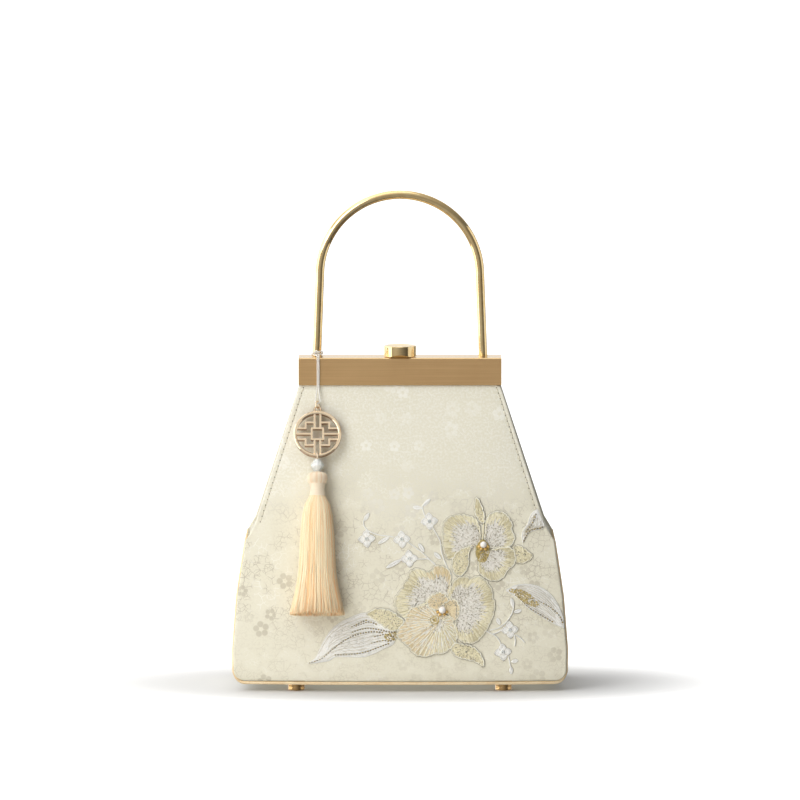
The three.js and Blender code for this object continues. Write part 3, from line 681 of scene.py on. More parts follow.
@dataclass(frozen=True)
class Brass:
    """Plated brass: its colour, how far it is brushed along the frame, and its wear; marked faces are polished
    and painted a lighter colour as a painted highlight.
    """

    name: str
    light: Colour
    deep: Colour
    smooth: float
    rough: float
    brushed: float = 0.0
    satin: float = 0.0
    cast: float = 0.0
    bared_and_painted_highlight: Colour | None = None
    bared_rough: float = 0.2
    bared_satin: float = 0.0
    strokes: Triple = (14.0, 1900.0, 1900.0)
    handling: float = 260.0
    clouds: float = 38.0

    @cache
    def material(self) -> Material:
        """The finish as a material; faces marked for polishing are smoother and take a lighter colour, a
        painted highlight.

        Returns:
            The material.
        """
        sheet = ShaderSheet(self.name)
        place = sheet.place()
        streak = sheet.noise(sheet.vector("MULTIPLY", place, self.strokes), 1.0, 5.0)
        uneven = sheet.mix(self.brushed, sheet.noise(place, self.handling, 4.0), streak)
        wear = sheet.math("MULTIPLY_ADD", sheet.noise(place, self.clouds), 0.4, sheet.times(uneven, 0.6))
        colour = sheet.mix(sheet.band(wear, 0.3, 0.7), self.deep, self.light)
        matt = sheet.band(wear, 0.3, 0.7, self.rough, self.smooth)
        metal: Any = 1.0 - self.satin
        # Marked faces take the lighter colour, a painted highlight, with less roughness.
        if self.bared_and_painted_highlight:
            polish = sheet.mark("polish")
            colour = sheet.mix(polish, colour, self.bared_and_painted_highlight)
            plated = sheet.math("SUBTRACT", 1.0, polish)
            rougher = sheet.math("SUBTRACT", matt, self.bared_rough)
            matt = sheet.math("MULTIPLY_ADD", rougher, plated, self.bared_rough)
            if self.bared_satin != self.satin:
                metal = sheet.band(polish, 0.0, 1.0, 1.0 - self.satin, 1.0 - self.bared_satin)
        strength, depth = 0.05 + 0.2 * self.brushed + self.cast, 0.00002 + 0.00003 * self.brushed
        return sheet.wear(Base_Color=colour, Metallic=metal, Roughness=matt,
                          Normal=sheet.bump(uneven, strength, depth))


@dataclass(frozen=True)
class SilkThread:
    """Lustrous twisted thread, from a deep to a light dye by the tint of each strand."""

    name: str
    light: Colour
    deep: Colour
    gloss: float = 0.42
    sheen: float = 0.25
    flecks: float = 1500.0
    fleck_share: float = 0.5
    fleck_height: float = 0.00008

    @cache
    def material(self) -> Material:
        """The finish as a material.

        Returns:
            The material.
        """
        sheet = ShaderSheet(self.name)
        fleck = sheet.noise(sheet.place(), self.flecks, 2.0)
        uneven = sheet.math("SUBTRACT", fleck, 0.5)
        share = sheet.math("MULTIPLY_ADD", uneven, self.fleck_share, sheet.mark("tint"))
        return sheet.wear(
            Base_Color=sheet.mix(sheet.band(share, 0.0, 1.0), self.deep, self.light),
            Roughness=sheet.band(fleck, 0.3, 0.7, self.gloss - 0.06, self.gloss + 0.1),
            Normal=sheet.bump(fleck, 0.15, self.fleck_height),
            Specular_IOR_Level=0.45,
            Sheen_Weight=self.sheen,
            Sheen_Roughness=0.35,
        )


@dataclass(frozen=True)
class Opal:
    """Milky faceted glass with a cloud inside."""

    name: str = "milk_opal"
    milk: Colour = tone(246, 247, 243)
    shade: Colour = tone(208, 213, 212)
    clouds: float = 420.0
    scatter: Triple = (0.003, 0.003, 0.0035)

    @cache
    def material(self) -> Material:
        """The finish as a material.

        Returns:
            The material.
        """
        sheet = ShaderSheet(self.name)
        cloud = sheet.noise(sheet.place(), self.clouds, 4.0)
        return sheet.wear(
            Base_Color=sheet.mix(sheet.band(cloud, 0.35, 0.65), self.shade, self.milk),
            Roughness=sheet.band(cloud, 0.3, 0.7, 0.05, 0.12),
            Subsurface_Weight=0.35,
            Subsurface_Radius=self.scatter,
            Specular_IOR_Level=0.7,
            Coat_Weight=0.4,
            Coat_Roughness=0.04,
        )


@dataclass(frozen=True)
class PearlLustre:
    """Cream nacre with a rosy bloom."""

    name: str = "pearl_lustre"
    cream: Colour = tone(255, 254, 250)
    rose: Colour = tone(252, 242, 234)
    blooms: float = 600.0

    @cache
    def material(self) -> Material:
        """The finish as a material.

        Returns:
            The material.
        """
        sheet = ShaderSheet(self.name)
        bloom = sheet.noise(sheet.place(), self.blooms)
        return sheet.wear(
            Base_Color=sheet.mix(sheet.band(bloom, 0.35, 0.65), self.rose, self.cream),
            Roughness=sheet.band(bloom, 0.3, 0.7, 0.16, 0.26),
            Specular_IOR_Level=0.6,
            Coat_Weight=0.5,
            Coat_Roughness=0.08,
            Sheen_Weight=0.15,
        )


class Finish(Enum):
    """A family of finishes."""

    @property
    def material(self) -> Material:
        """The finish as a material."""
        return self.value.material()


class Metal(Finish):
    """The brasses of the bag."""

    # On the frame the lighter colour of the marked faces is a painted highlight on its upward faces and soft
    # edges.
    FRAME = Brass("brushed_brass", tone(211, 174, 124), tone(195, 158, 110), 0.36, 0.48, brushed=1.0,
                  satin=0.5, bared_and_painted_highlight=tone(232, 202, 154))
    BRIGHT = Brass("polished_brass", tone(255, 230, 178), tone(244, 210, 150), 0.07, 0.14)
    STUD = Brass("stud_brass", tone(222, 184, 130), tone(198, 158, 104), 0.14, 0.24)
    # On the medallion the lighter colour is a painted highlight on faces towards the front and back, and the
    # darker light and deep colours are painted shade on its side walls; the jump ring takes the lighter colour
    # all over.
    ROSY = Brass("rosy_brass", tone(176, 130, 88), tone(150, 106, 68), 0.12, 0.24, satin=0.22, cast=0.5,
                 bared_and_painted_highlight=tone(255, 232, 198), bared_rough=0.07, bared_satin=0.22)
    SEED = Brass("seed_brass", tone(250, 214, 138), tone(226, 184, 106), 0.16, 0.24, satin=0.5)


class Thread(Finish):
    """The threads of the embroidery, the seams and the charm."""

    STRAW = SilkThread("straw_silk", tone(250, 244, 216), tone(216, 206, 168), 0.36)
    CREAM = SilkThread("cream_silk", tone(255, 253, 240), tone(244, 237, 212), 0.36)
    OLIVE = SilkThread("olive_gold_silk", tone(216, 196, 128), tone(156, 134, 72))
    WHITE = SilkThread("white_silk", tone(255, 255, 252), tone(238, 236, 229))
    LILAC = SilkThread("lilac_white_silk", tone(254, 252, 246), tone(206, 200, 186))
    PEACH = SilkThread("peach_silk", tone(246, 232, 200), tone(226, 208, 166))
    UMBER = SilkThread("umber_silk", tone(212, 205, 186), tone(112, 100, 72))
    CORD = SilkThread("white_cord", tone(255, 254, 250), tone(252, 248, 238), 0.6, 0.1)
    FRINGE = SilkThread("fringe_silk", tone(255, 240, 206), tone(255, 209, 152), 0.34, 0.3)
    HEAD = SilkThread("head_silk", tone(255, 242, 220), tone(242, 214, 178), 0.36, 0.3)
    SEAM = SilkThread("seam_thread", tone(240, 235, 218), tone(214, 206, 186), 0.6, 0.1)


class GeoTree(NodeSheet):
    """A Geometry Nodes tree with named sizes, and its use on a carrier mesh."""

    def __init__(self, name: str) -> None:
        """Starts a tree with one geometry in and one out.

        Args:
            name: Name of the tree.
        """
        super().__init__(bpy.data.node_groups.new(name, "GeometryNodeTree"))
        for way in ("INPUT", "OUTPUT"):
            self.tree.interface.new_socket("Geometry", in_out=way, socket_type="NodeSocketGeometry")
        self.entry = self.tree.nodes.new("NodeGroupInput")
        self.exit = self.tree.nodes.new("NodeGroupOutput")
        self.keys: dict[str, str] = {}

    def size(self, name: str, kind: str = "NodeSocketFloat") -> Socket:
        """A named input of the tree, as the output that carries it."""
        self.keys[name] = self.tree.interface.new_socket(name, in_out="INPUT", socket_type=kind).identifier
        return self.entry.outputs[name]

    def named(self, attribute: str, kind: str = "FLOAT") -> Socket:
        """An attribute that the carrier brings."""
        settings = {"data_type": kind}
        return self.add("GeometryNodeInputNamedAttribute", attribute, settings=settings).outputs["Attribute"]

    def close(self, geometry: Any) -> None:
        """Ends the tree: instances become a mesh, which gets the material.

        Args:
            geometry: What the tree has made.
        """
        real = self.add("GeometryNodeRealizeInstances", geometry)
        smooth = self.add("GeometryNodeSetShadeSmooth", real)
        material = self.size("Material", "NodeSocketMaterial")
        dyed = self.add("GeometryNodeSetMaterial", smooth, Material=material)
        self.tree.links.new(dyed.outputs[0], self.exit.inputs[0])

    def run(self, carrier: Piece, **sizes: Any) -> Piece:
        """Makes the tree's mesh from a carrier, which is used up.

        Args:
            carrier: The mesh of points or lines.
            sizes: The tree's inputs, with _ for a space.

        Returns:
            A plain object with the carrier's name.
        """
        name = carrier.name
        maker = carrier.modifiers.new("maker", "NODES")
        maker.node_group = self.tree
        for key, value in sizes.items():
            maker[self.keys[key.replace("_", " ")]] = value
        carrier.name = name + "_carrier"
        return baked(carrier, name)


@cache
def stitch_tree() -> GeoTree:
    """One plump stitch on each point, laid along its thread and flat on the cloth.

    Returns:
        The tree.
    """
    geo = GeoTree("stitches")
    width, height = (geo.times(geo.size(name), geo.named("girth")) for name in ("Width", "Height"))
    along, facing = (geo.named(name, "FLOAT_VECTOR") for name in ("along", "facing"))
    ahead = geo.add("FunctionNodeAlignRotationToVector", Vector=along, settings={"axis": "X"})
    laid = geo.add("FunctionNodeAlignRotationToVector", Rotation=ahead, Vector=facing,
                   settings={"axis": "Z", "pivot_axis": "X"})
    halves = [geo.times(full, 0.5) for full in (geo.length(along), width, height)]
    ball = geo.add("GeometryNodeMeshUVSphere", 5, 4, 1.0)
    bolt = geo.add("GeometryNodeTransform", ball.outputs["Mesh"], Rotation=(0, pi / 2, 0))
    geo.close(geo.add("GeometryNodeInstanceOnPoints", geo.entry.outputs["Geometry"], Instance=bolt,
                      Rotation=laid, Scale=geo.add("ShaderNodeCombineXYZ", *halves)))
    return geo


@cache
def tube_tree() -> GeoTree:
    """A round tube along each line, thinned where the line says.

    Returns:
        The tree.
    """
    geo = GeoTree("tubes")
    radius, sides = geo.size("Radius"), geo.size("Sides", "NodeSocketInt")
    line = geo.add("GeometryNodeMeshToCurve", geo.entry.outputs["Geometry"])
    ring = geo.add("GeometryNodeCurvePrimitiveCircle", Resolution=sides, Radius=radius)
    geo.close(geo.add("GeometryNodeCurveToMesh", line, ring.outputs["Curve"], geo.named("thick"), True))
    return geo


@cache
def ply_tree() -> GeoTree:
    """Three plies twisted together along each line.

    Returns:
        The tree.
    """
    geo = GeoTree("twisted_plies")
    radius, twist = geo.size("Ply Radius"), geo.size("Twist")
    line = geo.add("GeometryNodeMeshToCurve", geo.entry.outputs["Geometry"])
    run = geo.add("GeometryNodeSplineParameter").outputs["Length"]
    turned = geo.add("GeometryNodeSetCurveTilt", line, Tilt=geo.times(run, twist))
    ring = geo.add("GeometryNodeCurvePrimitiveCircle", Resolution=7, Radius=radius)
    bundle = geo.tree.nodes.new("GeometryNodeJoinGeometry")
    for ply in range(3):
        turn = tau * ply / 3
        out = [geo.times(radius, 1.08 * way(turn)) for way in (cos, sin)]
        aside = geo.add("GeometryNodeTransform", ring.outputs["Curve"],
                        Translation=geo.add("ShaderNodeCombineXYZ", *out))
        geo.tree.links.new(aside.outputs[0], bundle.inputs[0])
    geo.close(geo.add("GeometryNodeCurveToMesh", turned, bundle, geo.named("thick"), True))
    return geo


@cache
def stud_tree() -> GeoTree:
    """A copy of a shape on each point, standing along the point's facing.

    Returns:
        The tree.
    """
    geo = GeoTree("studs")
    shape = geo.add("GeometryNodeObjectInfo", geo.size("Shape", "NodeSocketObject"))
    facing = geo.named("facing", "FLOAT_VECTOR")
    up = geo.add("FunctionNodeAlignRotationToVector", Vector=facing, settings={"axis": "Z"})
    girth = geo.add("ShaderNodeCombineXYZ", *[geo.named("girth")] * 3)
    geo.close(geo.add("GeometryNodeInstanceOnPoints", geo.entry.outputs["Geometry"],
                      Instance=shape.outputs["Geometry"], Rotation=up, Scale=girth))
    return geo


def carrier(name: str, places: Array, edges: Sequence[tuple[int, int]] = (),
            **marks: Any) -> Piece:
    """A mesh of loose points or lines that a tree works on.

    Args:
        name: Name of the piece to be made.
        places: The points.
        edges: Pairs of points that are joined.
        marks: Attributes of the points, one number or one vector each.

    Returns:
        The carrier.
    """
    mesh = bpy.data.meshes.new(name)
    mesh.from_pydata(np.asarray(places).tolist(), list(edges), [])
    for label, values in marks.items():
        numbers = np.asarray(values, np.float32)
        kind, key = ("FLOAT_VECTOR", "vector") if numbers.ndim == 2 else ("FLOAT", "value")
        mesh.attributes.new(label, kind, "POINT").data.foreach_set(key, numbers.ravel())
    return new_object(name, mesh)


def line_carrier(name: str, lines: Sequence[Array], thick: Sequence[Array] | None = None,
                 tints: Sequence[float] | None = None) -> Piece:
    """A mesh of lines for the tube trees.

    Args:
        name: Name of the piece to be made.
        lines: Points of each line.
        thick: Share of the full thickness at each point of each line.
        tints: Share of light thread in each line.

    Returns:
        The carrier.
    """
    edges: list[tuple[int, int]] = []
    start = 0
    for line in lines:
        edges += [(start + k, start + k + 1) for k in range(len(line) - 1)]
        start += len(line)
    shares = np.concatenate(thick) if thick is not None else np.ones(start)
    tint = np.repeat(np.full(len(lines), 0.6) if tints is None else tints, [len(line) for line in lines])
    return carrier(name, np.concatenate(lines), edges, thick=shares, tint=tint)


def tubes(name: str, lines: Sequence[Array], radius: float, sides: int, finish: Material,
          **marks: Any) -> Piece:
    """Round tubes along lines, with marks that line_carrier takes for each line."""
    return tube_tree().run(line_carrier(name, lines, **marks), Radius=radius, Sides=sides, Material=finish)


def plied(name: str, lines: Sequence[Array], radius: float, twist: float, finish: Material,
          **marks: Any) -> Piece:
    """Cords of three plies along lines, with marks that line_carrier takes for each line."""
    return ply_tree().run(line_carrier(name, lines, **marks), Ply_Radius=radius, Twist=twist, Material=finish)


def padding(name: str, stacks: Sequence[Sequence[Array]], thread: Thread, tint: float) -> Piece:
    """Closed forms in thread, each a skin over a stack of rings.

    Args:
        name: Name of the piece.
        stacks: The rings of each form in order, all of one count of points.
        thread: The thread that covers them.
        tint: Share of light thread.

    Returns:
        The piece.
    """
    shape = bmesh.new()
    for stack in stacks:
        rings = ringed(shape, stack)
        shape.faces.new(rings[0])
        shape.faces.new(rings[-1])
    bmesh.ops.recalc_face_normals(shape, faces=shape.faces)
    made = plain_mesh(name, shape)
    mark(made, "tint", "POINT", np.full(len(made.data.vertices), tint))
    made.data.materials.append(thread.material)
    return made


@dataclass
class BodyForm:
    """The lofted shape of the sewn body, in metres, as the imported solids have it."""

    bottom: float = 0.0068
    frame_bottom: float = 0.1901
    tucked_top: float = 0.2001
    top_depth: float = 0.0095
    base_depth: float = 0.0434
    bulge: float = 0.0078
    crown: float = 0.0046
    crown_power: float = 2.4
    crown_steps: Floats = (-0.014, -0.007, 0.0, 0.007, 0.014)
    corner: float = 0.0068
    tuck: float = 0.0016
    wall: float = 0.0016
    heights: Floats = (0.0168, 0.026, 0.060, 0.0945, 0.1035, 0.1894, 0.1901, 0.2001)
    half_widths: Floats = (0.1043, 0.1045, 0.1018, 0.0966, 0.0913, 0.0633, 0.0605, 0.0605)

    def half_width(self, z: Numbers) -> Array:
        """Half the width of the face panel at a height.

        Args:
            z: The height.

        Returns:
            Half the width there.
        """
        z = np.asarray(z, float)
        below = np.clip(self.bottom + self.corner - z, 0, self.corner)
        return np.interp(z, self.heights, self.half_widths) - self.corner + np.sqrt(self.corner**2 - below**2)

    def depth(self, x: Numbers, z: Numbers) -> Array:
        """How far the face's skin stands in front of the middle plane.

        Args:
            x: Place across the face.
            z: Height.

        Returns:
            The depth at each place.
        """
        x, z = np.broadcast_arrays(np.asarray(x, float), np.asarray(z, float))
        rise = np.clip((z - self.bottom) / (self.frame_bottom - self.bottom), 0, 1)
        straight = self.base_depth + (self.top_depth - self.base_depth) * rise
        width = np.mean([self.half_width(z + step) for step in self.crown_steps], axis=0)
        across = np.minimum(1, np.abs(x) / width)
        fall = self.crown * (1 - rise**3) * across**self.crown_power
        roll = np.maximum(0, 1 - (z - self.bottom) / self.corner)
        return straight + self.bulge * np.sin(np.pi * rise) - fall - self.tuck * roll**2

    def facing(self, x: Array, z: Array) -> Array:
        """The direction out of the face at each place.

        Args:
            x: Places across the face.
            z: Their heights.

        Returns:
            A unit vector for each place.
        """
        step = 0.0004
        out = np.stack([-(self.depth(x + step, z) - self.depth(x - step, z)) / (2 * step), -np.ones_like(x),
                        -(self.depth(x, z + step) - self.depth(x, z - step)) / (2 * step)], -1)
        return out / np.linalg.norm(out, axis=-1, keepdims=True)

    def on_face(self, x: Array, z: Array, lift: Numbers = 0.0) -> Array:
        """Points on the face, at places across it and heights, lifted off its skin."""
        skin = np.stack([x, -self.depth(x, z), z], -1)
        return skin + self.facing(x, z) * np.broadcast_to(lift, x.shape)[..., None]

    def outline(self, start: float, top: float, step: float = 0.003) -> Array:
        """The panel's edge on the right side, from the lower edge up to a height.

        Args:
            start: Where it starts on the lower edge, across.
            top: Where it ends on the side edge, up.
            step: Distance between its points.

        Returns:
            Rows of x, z and the two parts of the direction out of the panel.
        """
        middle, bend_top = self.half_widths[0] - self.corner, self.bottom + self.corner
        flat = [(x, self.bottom, 0.0, -1.0) for x in np.arange(start, middle, step)]
        bend = [(middle + self.corner * sin(t), self.bottom + self.corner * (1 - cos(t)),
                 sin(t), -cos(t)) for t in np.linspace(0, pi / 2, 13)]
        rise = np.union1d(np.arange(bend_top + step, top, step), [h for h in self.heights if h < top])
        side = [(float(self.half_width(z)), z, 1.0, 0.0) for z in [*rise[rise > bend_top + 0.001], top]]
        return np.array(flat + bend + side)


FORM = BodyForm()


def sided(places: Array, side: int) -> Array:
    """Points as they are for side 1, and turned half round the vertical axis for side -1."""
    return np.asarray(places) * (side, side, 1)


@dataclass
class SewnBody(Assembly):
    """The body: two faced panels, two folded gussets, a base, piping and four studs."""

    columns: int = 66
    row_step: float = 0.0024
    corner_rows: int = 12
    edge_columns: Floats = (0, 0.0001, 0.0003, 0.0008, 0.0016, 0.0023, 0.0029, 0.0035, 0.0044)
    edge_rows: int = 5
    edge_width: float = 0.0056
    edge_roll: float = 0.0008
    inner_roll: float = 0.9
    hem: float = 0.0029
    hem_groove: float = 0.0003
    hem_width: float = 0.0007
    hem_start: Spot = (0.097, 0.107)
    hem_end: Spot = (0.1916, 0.1886)
    slack: float = 0.00014
    slack_edge: float = 0.02
    clamped: Spot = (0.1906, 0.1871)
    cuts: Triple = (1.0, 1.2, 2.3)
    gusset_thickness: float = 0.0022
    gusset_insets: Spot = (0.0003, 0.0015)
    gusset_top: float = 0.1951
    gusset_step: float = 0.0026
    gusset_columns: int = 33
    valley_power: float = 1.4
    valley_round: float = 0.02
    fold_heights: Floats = (0.007, 0.070, 0.095, 0.120, 0.150, 0.1951)
    folds: Floats = (0.0002, 0.0006, 0.0032, 0.011, 0.016, 0.013)
    crease: float = 0.0005
    crease_start: Spot = (0.085, 0.105)
    crease_end: Spot = (0.185, 0.15)
    gap: float = 0.0003
    base_bottom: float = 0.0071
    base_thickness: float = 0.002
    base_dome: float = 0.0004
    dome_power: int = 8
    piping_radius: float = 0.0011
    piping_step: float = 0.004
    piping_top: float = 0.0945
    piping_taper: float = 0.010
    piping_tip: float = 0.35
    foot_x: float = 0.065
    foot_y: float = 0.031
    foot_sides: int = 32
    foot_profile: Spots = (
        (0, 0), (0.0040, 0), (0.0047, 0.0001), (0.00515, 0.0003), (0.0053, 0.0007), (0.0053, 0.0020),
        (0.0051, 0.0024), (0.0053, 0.0028), (0.0053, 0.0055), (0.0051, 0.0059), (0.0042, 0.0068), (0, 0.0068),
    )
    stitch_pitch: float = 0.0036
    stitch_length: float = 0.0026
    stitch_width: float = 0.0008
    stitch_height: float = 0.0007
    hole_size: float = 0.0009
    hole_lift: float = -0.0002
    stitched: Spot = (0.106, 0.1886)

    def build(self) -> None:
        """Makes the meshes of the body."""
        self.keep(self._panel("face_cloth", 1), self._panel("back_cloth", -1),
                  self._gusset("gusset_cloth_right", 1), self._gusset("gusset_cloth_left", -1), self._base(),
                  self._piping("piping_front_welt", 1), self._piping("piping_back_welt", -1), self._feet())
        self._seams()

    def _panel(self, name: str, side: int) -> Piece:
        """A faced panel with a rolled edge and a hem.

        Args:
            name: Name of the piece.
            side: 1 for the face, -1 for the back.

        Returns:
            The panel.
        """
        close = np.array(self.edge_columns)
        corner = FORM.bottom + FORM.corner * (1 - np.cos(np.linspace(0, pi / 2, self.corner_rows)))
        rows = np.arange(FORM.bottom + FORM.corner + self.row_step, FORM.tucked_top, self.row_step)
        heights = np.concatenate([corner, rows, FORM.heights, FORM.bottom + close[1:self.edge_rows]])
        heights = np.unique(np.round(heights, 6))
        half = FORM.half_width(heights)[:, None]
        middle = np.linspace(-1, 1, self.columns + 2)[None, 1:-1]
        x = np.concatenate([-half + close, (half - self.edge_width) * middle, half - close[::-1]], axis=1)
        z = np.broadcast_to(heights[:, None], x.shape)
        inset = np.minimum(half - np.abs(x), z - FORM.bottom)
        near = np.clip(1 - inset / self.edge_roll, 0, 1)
        roll = self.edge_roll * (1 - np.sqrt(1 - near**2))
        hemmed = self.hem_groove * (smoothstep(z, *self.hem_start) * smoothstep(z, *self.hem_end))
        groove = hemmed * np.exp(-(((half - np.abs(x)) - self.hem) / self.hem_width) ** 2)
        swell = np.sin(61 * x + 40 * z) + np.sin(47 * x - 83 * z + 1.3)
        wave = self.slack * swell * smoothstep(inset, 0, self.slack_edge)
        depth = FORM.depth(x, z)
        outer = np.stack([x, -depth + roll + (groove + wave) * smoothstep(z, *self.clamped), z], -1)
        inner = np.stack([x, -depth + FORM.wall - self.inner_roll * roll, z], -1)
        cloth = np.stack([x + (self.cuts[0] if side < 0 else 0.0), z], -1)
        return closed_wall(name, sided(outer, side), sided(inner, side), cloth)

    def _gusset(self, name: str, side: int) -> Piece:
        """A side wall that rounds the lower corner and folds inwards above the shoulder.

        Args:
            name: Name of the piece.
            side: 1 for the right side, -1 for the left.

        Returns:
            The gusset.
        """
        edge = FORM.outline(FORM.half_widths[0] - FORM.corner, self.gusset_top, self.gusset_step)[1:]
        x, z, out_x, out_z = (edge[:, k, None] for k in range(4))
        across = np.linspace(-1, 1, self.gusset_columns)[None, :]
        half = FORM.depth(FORM.half_width(z), z) - FORM.wall - self.gap
        fold = np.interp(z, self.fold_heights, self.folds) * out_x
        soft = (np.abs(across) ** self.valley_power + self.valley_round) / (1 + self.valley_round)
        pull = self.crease * smoothstep(z, *self.crease_start) * smoothstep(z, *self.crease_end)
        crease = pull * np.sin(np.abs(across) * 9 + 95 * z) * (1 - across**2) * out_x
        valley = fold * (1 - soft) + crease
        run = np.concatenate([[0], np.cumsum(steps(edge[:, :2]))])
        low, high = self.gusset_insets

        def skin(inward: float) -> Array:
            """One skin of the wall at a depth inside the outer one.

            Args:
                inward: The depth.

            Returns:
                Its points, by row and column.
            """
            inset = low + (high - low) * out_x + inward
            height = np.broadcast_to(z - inset * out_z, valley.shape)
            return sided(np.stack([x - inset * out_x - valley, half * across, height], -1), side)

        cloth = np.stack([half * across + self.cuts[1], np.broadcast_to(run[:, None], valley.shape)], -1)
        return closed_wall(name, skin(0.0), skin(self.gusset_thickness), cloth)

    def _base(self) -> Piece:
        """The covered board under the body.

        Returns:
            The piece.
        """
        half_length = FORM.half_widths[0] - FORM.corner - self.gap
        x = np.linspace(-half_length, half_length, 49)[:, None]
        across = np.linspace(-1, 1, 21)[None, :]
        y = (FORM.depth(x, FORM.bottom) - FORM.wall - self.gap) * across
        dome = self.base_dome * (1 - across**self.dome_power) * (1 - (x / half_length) ** self.dome_power)
        low = np.stack([np.broadcast_to(x, y.shape), y, self.base_bottom + self.base_dome - dome], -1)
        high = low * (1, 1, 0) + (0, 0, self.base_bottom + self.base_thickness)
        return closed_wall("base_cloth", low, high, np.stack([low[..., 0] + self.cuts[2], y], -1))

    def _piping(self, name: str, side: int) -> Piece:
        """A gold welt behind the side edges of a panel and under its lower edge.

        Args:
            name: Name of the piece.
            side: 1 for the front, -1 for the back.

        Returns:
            The welt.
        """
        x, z, out_x, out_z = FORM.outline(0.0, self.piping_top, self.piping_step).T
        clear = self.piping_radius + self.gap
        roll = (1 - np.minimum(1, out_x / 0.9)) * pi / 2
        depth = FORM.depth(np.minimum(x, FORM.half_width(z)), z)
        right = np.stack([x + out_x * clear * np.sin(roll), FORM.wall + clear * np.cos(roll) - depth,
                          z + out_z * clear * np.sin(roll)], -1)
        line = sided(np.concatenate([right[:0:-1] * (-1, 1, 1), right]), side)
        full = smoothstep(self.piping_top - line[:, 2], 0.0, self.piping_taper)
        taper = full * (1 - self.piping_tip) + self.piping_tip
        return tubes(name, [line], self.piping_radius, 12, GoldLeather().material(), thick=[taper])

    def _feet(self) -> Piece:
        """Four turned studs.

        Returns:
            The piece.
        """
        stud = lathe("stud_pattern", self.foot_profile, self.foot_sides)
        spots = [(x, y, 0) for x in (-self.foot_x, self.foot_x) for y in (-self.foot_y, self.foot_y)]
        points = carrier("stud_feet", np.array(spots), facing=np.tile((0, 0, 1.0), (4, 1)), girth=np.ones(4))
        made = stud_tree().run(points, Shape=stud, Material=Metal.STUD.material)
        bpy.data.objects.remove(stud)
        return made

    def _seams(self) -> None:
        """Topstitching along the upper edges of both panels, with dark umber dots sunk into the cloth as
        painted shade of its needle holes.
        """
        heights = np.linspace(*self.stitched, 400)
        inside_edge = FORM.half_width(heights) - self.hem
        edges = [resampled(np.stack([way * inside_edge, heights], -1), self.stitch_pitch) for way in (1, -1)]
        for name, thread, tint, size, lift, spots, ahead in (
            ("topstitch_thread", Thread.SEAM, 0.5, (self.stitch_length, self.stitch_width), 0.0,
             [(e[1:] + e[:-1]) / 2 for e in edges], [np.diff(e, axis=0) for e in edges]),
            # Dark umber dots at the needle holes: painted shade of the holes.
            ("topstitch_holes", Thread.UMBER, 0.2, (self.hole_size, self.hole_size), self.hole_lift,
             edges, [np.gradient(e, axis=0) for e in edges]),
        ):
            spots, ahead = np.concatenate(spots), np.concatenate(ahead)
            along = FORM.on_face(*(spots + ahead / 2).T) - FORM.on_face(*(spots - ahead / 2).T)
            along = along / np.linalg.norm(along, axis=1, keepdims=True) * size[0]
            front = (FORM.on_face(*spots.T, lift), along, FORM.facing(*spots.T))
            places, along, facing = (np.concatenate([v, sided(v, -1)]) for v in front)
            points = carrier(name, places, along=along, facing=facing, girth=np.ones(len(places)),
                             tint=np.full(len(places), tint))
            self.keep(stitch_tree().run(points, Width=size[1], Height=self.stitch_height,
                                        Material=thread.material))

    def dress(self) -> None:
        sheets = (("face_cloth", "face_panel", (0.209, 0.200), 0.0355),
                  ("back_cloth", "back_panel", (0.209, 0.200), 0.0355),
                  ("gusset_cloth_right", "gusset_right", (0.085, 0.197), 0.0118),
                  ("gusset_cloth_left", "gusset_left", (0.085, 0.197), 0.0118),
                  ("base_cloth", "base_panel", (0.1945, 0.079), 0.0151))
        for name, node, _, _ in sheets:
            self.coat(Brocade().material(), name)
            self.fit(name, Slot.BROCADE, node)
        for end in ("front", "back"):
            self.fit(f"piping_{end}_welt", Slot.LEATHER, f"piping_{end}")
        feet = [f"foot_{row}_{end}" for row in ("front", "back") for end in ("left", "right")]
        self.fit("stud_feet", Slot.POLISHED, *feet)
        self.fit("topstitch_thread", Slot.THREAD)
        self.fit("topstitch_holes", Slot.THREAD)


